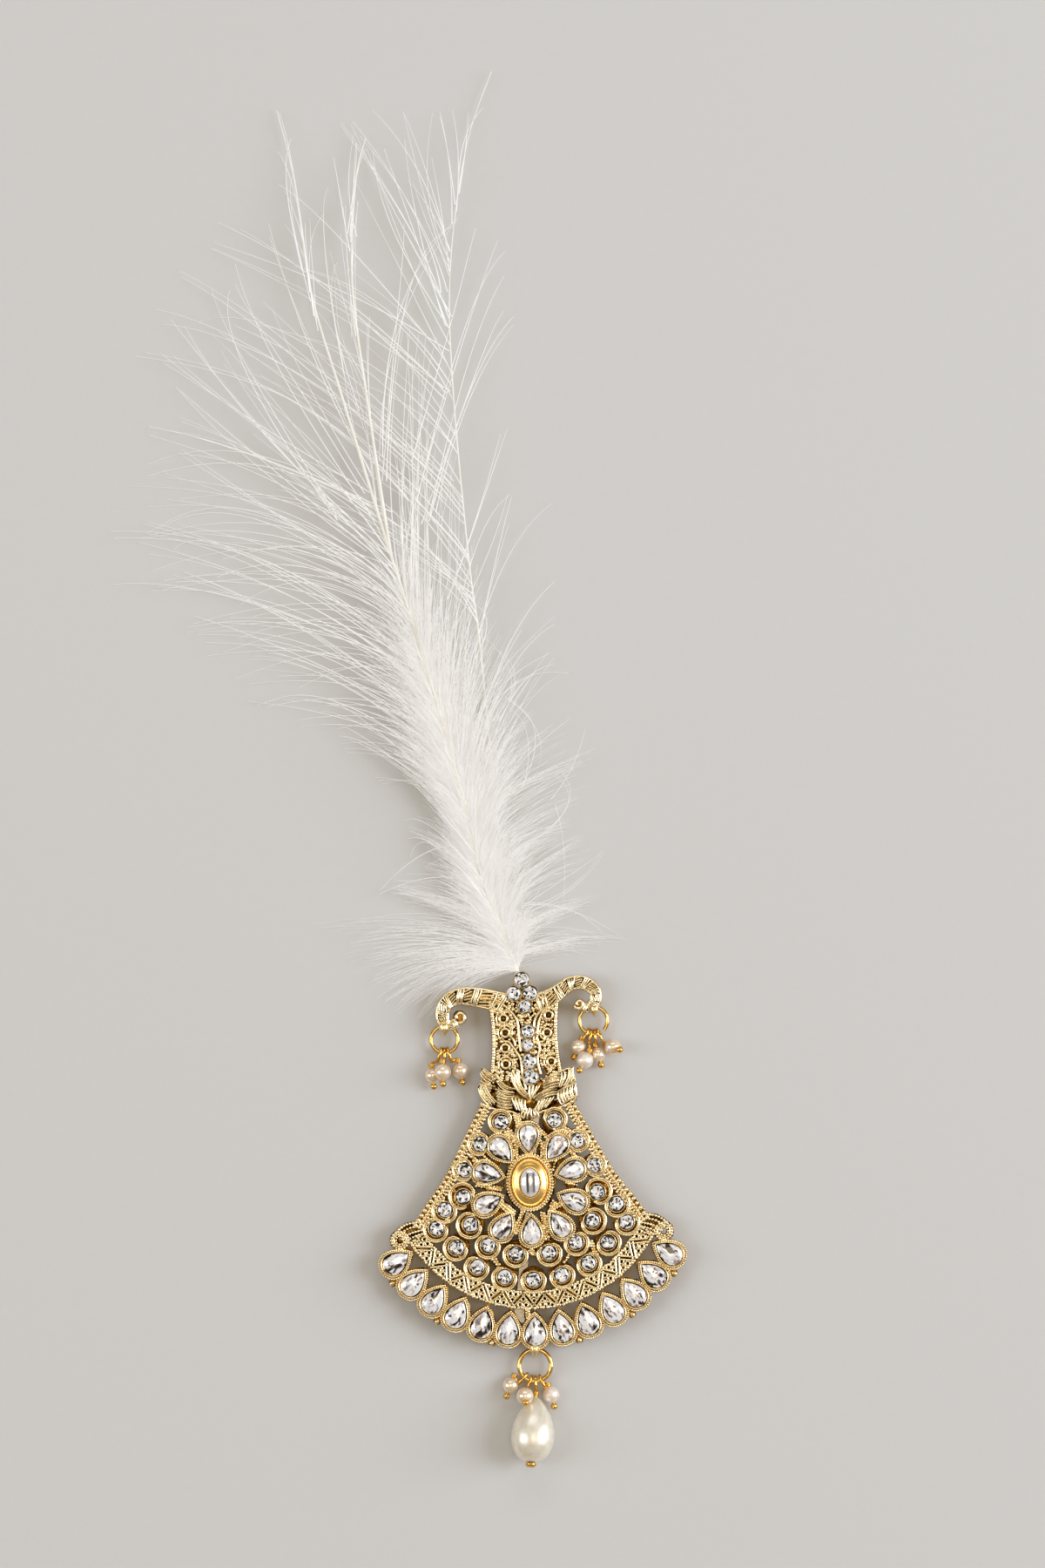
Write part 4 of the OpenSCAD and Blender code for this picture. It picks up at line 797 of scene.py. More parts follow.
def make_webs(sizes):
    """Flat cast webs with rows of uneven grains on them, between the collets and the scrolls."""
    chance = random.Random(21)
    strands, grains = [], []
    for x0, y0, x1, y1, rows in WEBS:
        start, end = Vector(on_picture(x0, y0)), Vector(on_picture(x1, y1))
        side = turned((end - start).normalized(), 90)
        reach = WEB_HALF + WEB_ROW_HALF * rows
        strands.append(([(*p, WEB_H, reach) for p in (start, start.lerp(end, 0.5), end)], False))
        count = max(2, round((end - start).length / sizes.grain_pitch / 1.25))
        for k in range(count + 1):
            for row in range(rows):
                across = (row - (rows - 1) / 2) * WEB_ROW + chance.uniform(-0.1, 0.1)
                spot = start.lerp(end, (k + 0.5 * (row % 2)) / count) + side * across
                size = sizes.grain_radius * chance.uniform(1.0, 1.7)
                grains.append(placed(*spot, WEB_GRAIN_H + chance.uniform(-0.3, 0.3), size))
    cast_piece("granulated_webs", wired(strands, 3), grained(grains))


def make_collets(sizes):
    """Collets with milgrain round the pear stones and the centre cup."""
    pitch, radius = sizes.grain_pitch, sizes.grain_radius
    collets, grains = [], []
    for size, top, places in (((PETAL_L, PETAL_W), PETAL_TOP, petal_places()),
                              ((RIM_L, RIM_W), RIM_TOP, rim_places())):
        profile = GROOVE + [(grow, top + rise) for grow, rise in BEZEL] + LEDGE
        collets.append(copied(softened(built_up(grown(pear, size, 48, profile)), 50), places))
        line = pear(*(length + 2 * LEDGE_MIDDLE for length in size), 96)
        grains += milgrain(line, places, GRAIN_H, pitch, radius * 0.95)
    wall = softened(built_up(grown(oval, (7.0, 9.2), 64, CUP_WALL)), 50)
    for width, length, height, share in CUP_MILGRAIN:
        grains += milgrain(oval(width, length, 96), [Matrix()], height, pitch * share, radius * 1.2)
    cast_piece("collets_with_milgrain", *collets, wall, grained(grains))


def make_neck_collets():
    cups = []
    for x, y, r in NECK_GEMS:
        cup = softened(built_up(grown(oval, (2 * r, 2 * r), 28, NECK_WALL)), 50)
        cup.data.transform(placed(x, y))
        cups.append(cup)
    cast_piece("neck_collets", *cups)


def make_scrolls():
    """Scroll rings: a round cup for each stone, wires that curl round it, and a ball at one end."""
    size = (2 * SCROLL_STONE_R, 2 * SCROLL_STONE_R)
    cup = softened(built_up(grown(oval, size, 32, SCROLL_WALL)), 50)
    cups = copied(cup, [placed(x, y) for x, y, radius, opening in SCROLLS])
    strands, balls = [], []
    for x, y, radius, opening in SCROLLS:
        middle, start = off((x, y), SCROLL_SHIFT, opening), opening + SCROLL_GAP
        for inset, height, thin, swell in SCROLL_WIRES:
            rows = []
            for k in range(SCROLL_STEPS + 1):
                u = k / SCROLL_STEPS
                reach = radius - inset - SCROLL_CURL * abs(2 * u - 1) ** 6
                rows.append((*off(middle, reach, start + (360 - 2 * SCROLL_GAP) * u), height,
                             thin + swell * math.sin(math.pi * u)))
            strands.append((rows, False))
        balls.append(placed(*off(middle, radius - SCROLL_BALL_IN, start), SCROLL_BALL_H, SCROLL_BALL))
    cast_piece("scroll_rings", cups, wired(strands, 3), grained(balls))


# Cuts of the stones: size of the foot, then the steps of the crown as size, turn of the corners and height
# from the table, and the height of the middle from it
PEAR_CUT = (0.97, [(1, 0, -0.42), (0.95, 0, -0.24), (0.82, 0, -0.04), (0.5, 0.5, 0.1)], 0.14)
ROUND_CUT = (0.96, [(1, 0, -0.35), (0.86, 0.5, -0.12), (0.7, 0, 0), (0.38, 0.5, -0.08)], -0.12)
PEAR_TABLES, ROUND_TABLE = (SEAT + 1.55, SEAT + 1.35), SEAT + 1.25
# Shares of light of the facets
PEAR_SHADES = (-1.0, 0.0, 0.0, 1.0)
ROUND_SHADES = (0.0, 0.0, 0.3, 0.8, 1.0, 1.0, 1.0, 1.0)
# The centre stone's dome: share of its outline and height from its foot, and the foot and the middle
DOME = [(0.96, 0), (1, 0.1), (1, 0.6), (0.97, 0.85), (0.9, 1.12), (0.78, 1.36), (0.6, 1.53), (0.4, 1.63),
        (0.2, 1.68)]
DOME_FOOT, DOME_TOP = SEAT + 1.4, 1.7
# The centre cup from its mouth round its lip to its foot: width, length, height
CUP = [(3.95, 5.65, 4.85), (4.0, 5.7, 5.6), (4.12, 5.85, 5.76), (4.35, 6.1, 5.76), (5.3, 7.15, 5.52),
       (6.15, 8.2, 5.3), (6.35, 8.45, 5.28), (6.6, 8.8, 5.36), (6.85, 9.05, 5.3), (7.0, 9.2, 5.05),
       (6.9, 9.1, 4.75), (6.75, 8.95, 4.6), (6.75, 8.95, 3.5)]


def cut_stone(outline, table, cut):
    """A faceted stone: foot, girdle, the steps of its crown and its middle."""
    foot, crown, middle = cut
    steps = [(outline(foot, 0), SEAT), (outline(1, 0), SEAT + GIRDLE_H)]
    steps += [(outline(part, phase), table + rise) for part, phase, rise in crown]
    return built_up(steps, table + middle)


def make_stones():
    """The pear stones of the petals and the rim, and the round stones of the scrolls and the neck."""
    for stem, places, length, width, table in (("petal_stone_", petal_places(), PETAL_L, PETAL_W, 0),
                                               ("rim_stone_", rim_places(), RIM_L, RIM_W, 1)):
        for i, place in enumerate(places, 1):
            node = f"{stem}{i:02d}"
            stone = cut_stone(lambda part, phase: pear(length * part, width * part, 20, phase),
                              PEAR_TABLES[table], PEAR_CUT)
            stone = softened(faceted(stone, PEAR_SHADES, node), 25)
            stone.data.transform(place)
            dressed(node, stone, "pear")
    chance = random.Random(7)
    for node, rows in (("scroll_stones", [(x, y, SCROLL_STONE_R - 0.14) for x, y, r, a in SCROLLS]),
                       ("neck_stones", NECK_GEMS)):
        gems = []
        for k, (x, y, r) in enumerate(rows):
            gem = cut_stone(lambda part, phase: oval(2 * r * part, 2 * r * part, 16, phase),
                            ROUND_TABLE, ROUND_CUT)
            faceted(gem, ROUND_SHADES, node + str(k))
            gem.data.transform(placed(x, y) @ Matrix.Rotation(chance.uniform(0, 6.28), 4, "Z"))
            gems.append(gem)
        dressed(node, joined(*gems), "stone")
    width, length = CENTRE_STONE
    stone = built_up([(oval(width * part, length * part, 48), DOME_FOOT + rise) for part, rise in DOME],
                     DOME_FOOT + DOME_TOP)
    dressed("centre_stone", softened(faceted(stone, (1.0,), "centre"), 50), "dome")


def make_cup():
    """Polished dished cup: a broad flange that sweeps up to a rolled lip round the centre stone."""
    cup = built_up([(oval(width, length, 64), height) for width, length, height in CUP])
    dressed("centre_cup", softened(cup, 60), "cup")


# ---------------------------------------------------------------- relief of the casting

# The band's zigzag of paired bars: inset of its corners, distance, height and radius of the bars
BAR_INSET, BAR_APART, BAR_H, BAR_R = 0.45, 0.33, 4.0, 0.2
# Pits of a triangle, from its middle: outwards, degrees; then their radius, the wire's and its height
PITS, PIT_R, PIT_WIRE, PIT_H = ((0.95, -1.25), (0.95, 1.25), (-0.15, 0)), 0.44, 0.19, 3.92
BAND_ROWS, BAND_STEPS = 7, 90


# Rows of grains of the band: inset, pitches and sizes at the edges and between them, scatter, and
# how near they come to the middle of a bar and to a pit
BAND_INSET, EDGE_PITCH, BED_PITCH, EDGE_SIZES, BED_SIZES = 0.2, 0.62, 0.5, (0.3, 0.4), (0.22, 0.32)
BED_SCATTER, BAR_NEAR, PIT_NEAR = 0.1, 1.8, 0.55


def on_band(radius, bearing):
    """Point at a radius and a bearing round the middle of the rim."""
    return off((0, RIM_Y), radius, bearing - 90)


def make_band():
    """The zigzag band under the field: rough edges, paired bars and three pits in each triangle."""
    chance = random.Random(13)
    strands, grains, bars, pits = [], [], [], []
    reach = BAND_REACH + 2
    swing = (BAND_OUT - BAND_IN) / 2 - BAR_INSET
    middle = (BAND_IN + BAND_OUT) / 2
    turns = int(BAND_REACH / RIM_PITCH * 2)
    for k in range(-turns, turns):
        side = 1 if k % 2 == 0 else -1
        a = Vector(on_band(middle + side * swing, k * RIM_PITCH / 2))
        b = Vector(on_band(middle - side * swing, (k + 1) * RIM_PITCH / 2))
        bars.append((a, b))
        across = turned((b - a).normalized(), 90)
        for shift in (-BAR_APART, BAR_APART):
            strands.append(([(*(end + across * shift), BAR_H, BAR_R) for end in (a, b)], False))
    for k in range(-turns, turns + 1):
        side = -1 if k % 2 == 0 else 1
        for outward, aside in PITS:
            pit = on_band(middle + side * outward, k * RIM_PITCH / 2 + aside)
            pits.append(Vector(pit))
            strands.append((ring_rows(*pit, PIT_R, PIT_WIRE, PIT_H, 10), True))
    for row in range(BAND_ROWS):
        radius = BAND_IN + BAND_INSET + row * (BAND_OUT - BAND_IN - 2 * BAND_INSET) / (BAND_ROWS - 1)
        rows = [on_band(radius, -reach + 2 * reach * k / BAND_STEPS) for k in range(BAND_STEPS + 1)]
        edge = row in (0, BAND_ROWS - 1)
        for x, y, _ in spaced(rows, EDGE_PITCH if edge else BED_PITCH, False):
            spot = Vector([c + chance.uniform(-BED_SCATTER, BED_SCATTER) for c in (x, y)])
            near_bar = any(abs((spot - a).cross(b - a)) <= 0.5 * (b - a).length
                           and (spot - (a + b) / 2).length <= BAR_NEAR for a, b in bars)
            if edge or not near_bar and min((spot - pit).length for pit in pits) > PIT_NEAR:
                size = chance.uniform(*EDGE_SIZES if edge else BED_SIZES)
                grains.append(placed(*spot, GRAIN_H, size))
    cast_piece("zigzag_band", wired(strands, 1), grained(grains))


# Rows of grains along the side strips and the corners: part of the half-width, pitch, radius, height
SIDE_ROWS = [(0.68, 1.1, 0.5, 3.75), (1.0, 0.55, 0.24, 3.6), (0.05, 0.7, 0.36, 3.8),
             (-0.4, 0.62, 0.28, 3.82), (-0.85, 0.8, 0.38, 3.78)]
CORNER_ROWS = [(part, 0.6, 0.32, 3.85) for part in (-0.8, -0.3, 0.3, 0.8)]
# Rings of grains round the corner's eye: radius, number, size
EYE_ROWS, EYE_ROWS_H = [(1.6, 18, 0.3), (0.8, 9, 0.27)], 3.85
EYE_R, EYE_WIRE, EYE_H = 1.2, 0.17, 3.9
SPINE_R, SPINE_H = 0.55, 3.32


def make_sides():
    """Beaded strips down both sides, and the granulated volutes at the corners."""
    chance = random.Random(11)
    grains, eyes, spines = [], [], []
    for side in (1, -1):
        for table, rows in ((SIDE_EDGE, SIDE_ROWS), (CORNER_PATH, CORNER_ROWS)):
            for part, pitch, radius, height in rows:
                line = [beside(table, t, part) for t in even(table, 48)]
                for x, y, _ in spaced([(side * x, y) for x, y, _ in line], pitch, False):
                    grains.append(placed(x, y, height, radius * chance.uniform(0.85, 1.12)))
        eye = CORNER_EYE[0] * side, CORNER_EYE[1]
        for radius, count, size in EYE_ROWS:
            for k in range(count):
                x, y = off(CORNER_EYE, radius, 360 * k / count)
                grains.append(placed(side * x, y, EYE_ROWS_H, size * chance.uniform(0.85, 1.1)))
        eyes.append((ring_rows(*eye, EYE_R, EYE_WIRE, EYE_H, 20), True))
        spines.append(([(side * x, y, SPINE_H, SPINE_R) for x, y, _ in SIDE_EDGE], False))
    cast_piece("side_strips", grained(grains), wired(eyes + spines, 2))


# Ringlets of the neck: radius, wire and height of the ring, then of the arc round it and its degrees
RINGLET, RINGLET_ARC, ARC_TURN, ARC_STEPS = (0.78, 0.27, 4.05), (1.38, 0.2, 3.85), 240, 16
# Shape of the low disc in each ringlet's eye, painted dark as shade by the cast colour
EYE_SHADE_DISC = (0.8, 0.8, 0.3)
# Clear of grains round the middle of a ringlet, the slot and a rib, and beyond a gem's radius
RINGLET_CLEAR, SLOT_CLEAR, RIB_CLEAR, GEM_CLEAR = 1.42, 1.3, 0.5, 0.4


# Wires down the sides: start above the low end, what they leave out of the height, steps, inset from
# the edge, height, radius, and the pitch of the grains on them
SIDE_START, SIDE_SHORT, SIDE_STEPS, SIDE_INSET = 0.8, 1.2, 30, 0.35
SIDE_H, SIDE_R, SIDE_PITCH = 3.6, 0.42, 0.8
NECK_RIB_H, NECK_RIB_R = 4.05, 0.27
# Low discs in the eyes of the ringlets and of the collar, that the cast colour paints dark as painted shade
SHADE_DISC_H, COLLAR_SHADE_DISC_H, COLLAR_SHADE_DISC = 3.18, 3.1, (1.1, 0.9, 0.4)
# Bed of grains: what it leaves free at the start and the end of a row, pitch in a row and from row to
# row, scatter, part left bare, height range, and height of the lower grains beside the ribs
BED_FROM, BED_TO, BED_ACROSS, BED_ALONG, NECK_SCATTER = 1.0, 0.9, 0.53, 0.5, 0.24
BARE, BED_H, LOW_H = 0.06, (3.75, 3.95), 3.68


def neck_edge(y):
    """Half-width of the neck at a height."""
    u = (y - NECK_LOW) / (NECK_HIGH - NECK_LOW)
    return NECK_HALF + NECK_FLARE * (2 * u - 1) ** 2


def make_neck():
    """The neck: rough granulation, ringlets whose eyes hold discs painted dark as shade, and smooth ribs that
    frame the gems.
    """
    chance = random.Random(5)
    grains, strands, shade_discs = [], [], []
    for side in (1, -1):
        heights = [NECK_LOW + SIDE_START + (NECK_HIGH - NECK_LOW - SIDE_SHORT) * k / SIDE_STEPS
                   for k in range(SIDE_STEPS + 1)]
        rows = [(side * (neck_edge(y) - SIDE_INSET), y) for y in heights]
        strands.append(([(x, y, SIDE_H, SIDE_R) for x, y in rows], False))
        for x, y, _ in spaced(rows, SIDE_PITCH, False):
            grains.append(placed(x, y, GRAIN_H, chance.uniform(0.3, 0.48)))
    holes = [(x, y, RINGLET_CLEAR) for x, y in RINGLETS] + [(*NECK_SLOT, SLOT_CLEAR)]
    holes += [(x, y, r + GEM_CLEAR) for x, y, r in NECK_GEMS]
    ring_r, ring_wire, ring_h = RINGLET
    arc_r, arc_wire, arc_h = RINGLET_ARC
    for spot in RINGLETS:
        strands.append((ring_rows(*spot, ring_r, ring_wire, ring_h, 16), True))
        start = chance.uniform(0, 360)
        arc = [off(spot, arc_r, start + ARC_TURN * k / ARC_STEPS) for k in range(ARC_STEPS + 1)]
        strands.append(([(*p, arc_h, arc_wire) for p in arc], False))
        shade_discs.append(placed(*spot, SHADE_DISC_H) @ Matrix.Diagonal((*EYE_SHADE_DISC, 1)))
    for spot in COLLAR_EYES:
        shade_discs.append(placed(*on_picture(*spot), COLLAR_SHADE_DISC_H) @ Matrix.Diagonal((*COLLAR_SHADE_DISC, 1)))
    for rib in NECK_RIBS:
        rows = [on_picture(*along(rib, t)) for t in even(rib, 12)]
        strands.append(([(*p, NECK_RIB_H, NECK_RIB_R) for p in rows], False))
        holes += [(*p, RIB_CLEAR) for p in rows]

    def clear(x, y, share):
        return all((x - a) ** 2 + (y - b) ** 2 > share * r * r for a, b, r in holes)

    y = NECK_LOW - 1
    while y < NECK_HIGH + BED_TO:
        x = -neck_edge(y) + BED_FROM
        while x < neck_edge(y) - BED_TO:
            px, py = (c + chance.uniform(-NECK_SCATTER, NECK_SCATTER) for c in (x, y))
            if clear(px, py, 1) and chance.random() > BARE:
                height = chance.uniform(*BED_H)
                grains.append(placed(px, py, height, chance.uniform(0.24, 0.42)))
            elif clear(px, py, 0.5):
                grains.append(placed(px, py, LOW_H, chance.uniform(0.2, 0.36)))
            x += BED_ACROSS
        y += BED_ALONG
    cast_piece("neck_relief", wired(strands, 2), grained(grains + shade_discs))


# Flutes of the leaves, every other one a ridge and the rest furrows: height, radius
FLUTES = ((4.05, 0.15), (3.7, 0.13))
FLUTE_STEPS, LEAF_EDGE_H, LEAF_EDGE_R = 6, 3.9, 0.22


def make_leaves():
    """The leaf collar: wings of deep flutes that fan out from the middle, and wire along its edge."""
    chance = random.Random(17)
    strands = []
    for *corners, count, bow in LEAF_FANS:
        root_a, root_b, tip_a, tip_b = (Vector(corner) for corner in corners)
        flutes = 2 * count - 1
        for k in range(flutes):
            u = (k + chance.uniform(-0.25, 0.25)) / max(1, flutes - 1)
            root, tip = root_a.lerp(root_b, u), tip_a.lerp(tip_b, u)
            tip = root + (tip - root) * chance.uniform(0.9, 1.12)
            side = turned(tip - root, 90) * (bow + chance.uniform(-0.04, 0.04))
            height, radius = FLUTES[k % 2]
            rows = []
            for v in (m / FLUTE_STEPS for m in range(FLUTE_STEPS + 1)):
                swell = math.sin(math.pi * v)
                spot = on_picture(*(root.lerp(tip, v) + side * 4 * v * (1 - v)))
                rows.append((*spot, height + 0.15 * swell, radius + 0.06 * swell))
            strands.append((rows, False))
    for edge in LEAF_EDGES:
        rows = [(*along(edge, t), LEAF_EDGE_H, LEAF_EDGE_R) for t in even(edge, 24)]
        strands.append((rows, False))
    cast_piece("leaf_collar", wired(strands, 2))


HORN_GROUPS, HORN_STEPS, HORN_FLAT, HORN_H = 13, 32, 0.29, 3.1
CURL_STEPS, CURL_START, CURL_STEP, CURL_SHRINK = 14, 200, 25, 0.55
CURL_R, CURL_H, CURL_THIN = 0.46, 3.8, 0.008
# Parts of the half-width that the body and the edge wires take; height and radius of the wires and the
# hatched lines, and what the half-width adds to them
HORN_BODY, HORN_EDGE, HORN_WIRE_H, HORN_WIRE_R, HORN_WIRE_MORE, HORN_HALF = 0.96, 0.86, 3.75, 0.17, 0.12, 1.9
HATCH_H, HATCH_DOME, HATCH_R, HATCH_MORE = 3.8, 0.3, 0.11, 0.045


def horn_bars(last, chance):
    """Hatched lines of a horn, as places on its path and parts of its half-width: groups that run across
    it and groups that run along it, by turns."""
    bars = []
    for group in range(HORN_GROUPS):
        start, step = last * group / HORN_GROUPS, last / HORN_GROUPS
        if group % 2 == 0:
            for m in range(4):
                t = start + step * (m + chance.uniform(0.3, 0.7)) / 4
                lean = chance.uniform(0.02, 0.2)
                bars.append([(t + lean * u, 0.84 * u) for u in (-1, -0.5, 0, 0.5, 1)])
        else:
            for part in (-0.66, -0.33, 0, 0.33, 0.66):
                lean = chance.uniform(0.15, 0.45)
                bars.append([(start + step * (0.04 + 0.92 * w), within(part + lean * (w - 0.5), -0.9, 0.9))
                             for w in (0, 0.35, 0.7, 1)])
    return bars


def make_horns():
    """The two horns: rounded bodies, wire edges, and hatched lines that change direction in groups."""
    chance = random.Random(19)
    strands, bodies = [], []
    for table, (x, y, r) in ((LEFT_HORN, LEFT_CURL), (RIGHT_HORN, RIGHT_CURL)):
        path = even(table, HORN_STEPS)
        middles = [beside(table, t, 0) for t in path]
        bodies.append(([(px, py, HORN_H, half * HORN_BODY) for px, py, half in middles], False))
        for side in (1, -1):
            edge = [beside(table, t, side * HORN_EDGE) for t in path]
            strands.append(([(px, py, HORN_WIRE_H, HORN_WIRE_R + HORN_WIRE_MORE * half / HORN_HALF)
                             for px, py, half in edge], False))
        for bar in horn_bars(len(table) - 1, chance):
            rows = []
            for t, part in bar:
                px, py, half = beside(table, t, part)
                rows.append((px, py, HATCH_H + HATCH_DOME * half * (1 - part * part),
                             HATCH_R + HATCH_MORE * half))
            strands.append((rows, False))
        strands.append(([(*off((x, y), r * (1 - CURL_SHRINK * k / CURL_STEPS), CURL_START + CURL_STEP * k),
                          CURL_H, CURL_R - CURL_THIN * k) for k in range(CURL_STEPS + 1)], False))
    body = wired(bodies, 4)
    body.data.transform(placed(0, 0, HORN_H) @ Matrix.Diagonal((1, 1, HORN_FLAT, 1)) @ placed(0, 0, -HORN_H))
    cast_piece("horns", body, wired(strands, 1))


# Heart-shaped lugs: share of their outline and height
HEART, HEART_TOP = ((1.0, 3.3), (1.02, 3.6), (0.85, 4.0), (0.5, 4.25)), 4.3


def make_lugs():
    """Balls under the rim, heart-shaped lugs over the rings."""
    stretch = placed(0, 0, LUG_H, LUG_BALL) @ Matrix.Diagonal((0.86, 1.08, 1, 1))
    places = [rim_place(side * step, LUG_R) @ stretch for step in LUG_STEPS for side in (1, -1)]
    balls = copied(ball(20, 12), places)
    hearts = []
    for x, y, length, width in RING_LUGS:
        heart = built_up([(pear(length * part, width * part, 24), h) for part, h in HEART], HEART_TOP)
        heart.data.transform(placed(x, y) @ Matrix.Rotation(math.pi, 4, "Z"))
        hearts.append(heart)
    cast_piece("lugs", balls, softened(joined(*hearts), 60), material="lug")


# ---------------------------------------------------------------- rings, pins and pearls

RING_STEPS, LOOP_STEPS, COIL_TURNS, COIL_STEPS, COIL_R, COIL_WIRE = 64, 24, 2.5, 40, 0.42, 0.2
CAP = ((0.5, 0.05), (1.0, 0.05), (1.05, 0.25), (0.95, 0.55), (0.6, 0.78))
CAP_TOP, BORE_R, BORE_RIM, BORE_LIP = 0.82, 0.3, 0.34, 0.25


def aim(bearing, rise):
    """Direction at a bearing and a rise over the surface."""
    b, r = math.radians(bearing), math.radians(rise)
    return Vector((math.cos(r) * math.cos(b), math.cos(r) * math.sin(b), math.sin(r)))


def make_rings():
    """The jump rings. The right one stands open by a few degrees."""
    for side, (x, y, radius, wire, opening, at) in RINGS.items():
        rows = [(*off((x, y), radius, at + opening / 2 + (360 - opening) * k / RING_STEPS), RING_H, wire)
                for k in range(RING_STEPS + bool(opening))]
        ring = softened(wired([(rows, not opening)], 5), 60)
        dressed("ring_" + side, ring, "ring")


def pin_wires(ring, loop_at, start, way, length):
    """Wire of a head pin: its loop round the ring, the run to the bead, the coil and the run through."""
    x, y, radius, wire = ring[:4]
    loop_r = wire + 0.15 + PIN_R
    middle = Vector((*off((x, y), radius, loop_at), RING_H))
    outward, high = aim(loop_at, 0), Vector((0, 0, 1))
    turns = [2 * math.pi * k / LOOP_STEPS for k in range(LOOP_STEPS)]
    loop = [middle + outward * (LOOP_OFF + LOOP_LONG * loop_r * math.cos(a)) + high * loop_r * math.sin(a)
            for a in turns]
    leave = middle + outward * (LOOP_OFF + LOOP_LONG * loop_r)
    side = way.cross(high).normalized()
    up = side.cross(way).normalized()
    coil = []
    for k in range(COIL_STEPS + 1):
        a = 2 * math.pi * COIL_TURNS * k / COIL_STEPS
        p = start + way * (0.02 + (WRAP_L - 0.04) * k / COIL_STEPS)
        coil.append((*(p + (side * math.cos(a) + up * math.sin(a)) * COIL_R), COIL_WIRE))
    return [([(*p, PIN_R) for p in loop], True),
            ([(*p, PIN_R) for p in (leave, leave.lerp(start, 0.5), start)], False),
            (coil, False),
            ([(*p, PIN_R) for p in (start, start + way * length)], False)]


def make_pins():
    """The head pins of the small pearls, and the pin of the drop with its loop and end cap."""
    wrap = WRAP_OFF + WRAP_L
    for side, table in PEARLS.items():
        strands, balls = [], []
        for loop_at, x, y, z, r, bearing, rise in table:
            way, middle = aim(bearing, rise), Vector((x, y, z))
            strands += pin_wires(RINGS[side], loop_at, middle - way * (r + wrap), way,
                                 wrap + 2 * r + BALL_OFF)
            balls.append(placed(*(middle + way * (r + BALL_OFF)), BALL_R))
        ends = copied(ball(20, 14), balls)
        dressed("pins_" + side, joined(wired(strands, 3), ends), "wire")
    way = aim(DROP_BEARING, DROP_RISE)
    strands = pin_wires(RINGS["bottom"], DROP_LOOP_AT, Vector(DROP_TIP) - way * wrap, way,
                        wrap + DROP_L + CAP_T / 2)
    cap = built_up(turned_round(CAP, 24), CAP_TOP)
    cap.data.transform(aimed(Vector(DROP_TIP) + way * DROP_L, way))
    dressed("drop_pin", joined(wired(strands, 3), softened(cap, 40)), "wire")


def bored_bead(node, profile, count, place, material):
    """A bead turned round its axis, with the rims of its hole drawn in."""
    rims = [(BORE_R, profile[0][1] + BORE_LIP)], [(BORE_R, profile[-1][1] - BORE_LIP)]
    bead = built_up(turned_round(rims[0] + profile + rims[1], count))
    bead.data.transform(place)
    dressed(node, softened(bead, 50), material)


def make_pearls():
    """The small pearls and the teardrop, each with its bore."""
    for side, table in PEARLS.items():
        for i, (loop_at, x, y, z, r, bearing, rise) in enumerate(table, 1):
            low = math.asin(BORE_RIM / r)
            steps = [low + (math.pi - 2 * low) * k / 18 for k in range(19)]
            bored_bead(f"pearl_{side}_{i}", [(r * math.sin(a), -r * math.cos(a)) for a in steps], 40,
                       aimed((x, y, z), aim(bearing, rise)),
                       "matt" if (side, i) in ROUGH_PEARLS else "pearl")
    half = pear(DROP_L, 2 * DROP_R, 96, point=0.5)[1:48]
    bored_bead("pearl_drop", [(x, DROP_L / 2 - y) for x, y in half if x > BORE_RIM + 0.01], 64,
               aimed(DROP_TIP, aim(DROP_BEARING, DROP_RISE)), "drop")


# ---------------------------------------------------------------- plume

def barb(root, knee, tip, width, chance, steps):
    """One barb: it leaves its root towards its knee, bows over to its tip and thins out."""
    sway = chance.uniform(-0.02, 0.02) * (tip - root).length
    across = Vector((-(tip - root).y, (tip - root).x, 0)).normalized()
    phase = chance.uniform(0, 6.28)
    rows = []
    for k in range(steps + 1):
        v = k / steps
        p = root * (1 - v) ** 2 + knee * 2 * v * (1 - v) + tip * v * v
        p += across * sway * math.sin(3.5 * v + phase) * v
        rows.append((p.x, p.y, max(0.15, p.z), width * (1 - 0.72 * v)))
    return rows, False


def bent_barb(root, way, tip, bend, width, chance, steps):
    """A barb that leaves its shaft along way, and turns to its tip after this part of its length."""
    knee = root + Vector((*way, 0)) * (tip - root).length * bend
    knee.z = root.z * 0.8 + tip.z * 0.2
    return barb(root, knee, tip, width, chance, steps)


def strayed(chance, apart, low, high):
    """A shift by chance: this much sideways, and up or down between two limits."""
    return Vector((chance.gauss(0, apart), chance.gauss(0, apart), chance.uniform(low, high)))


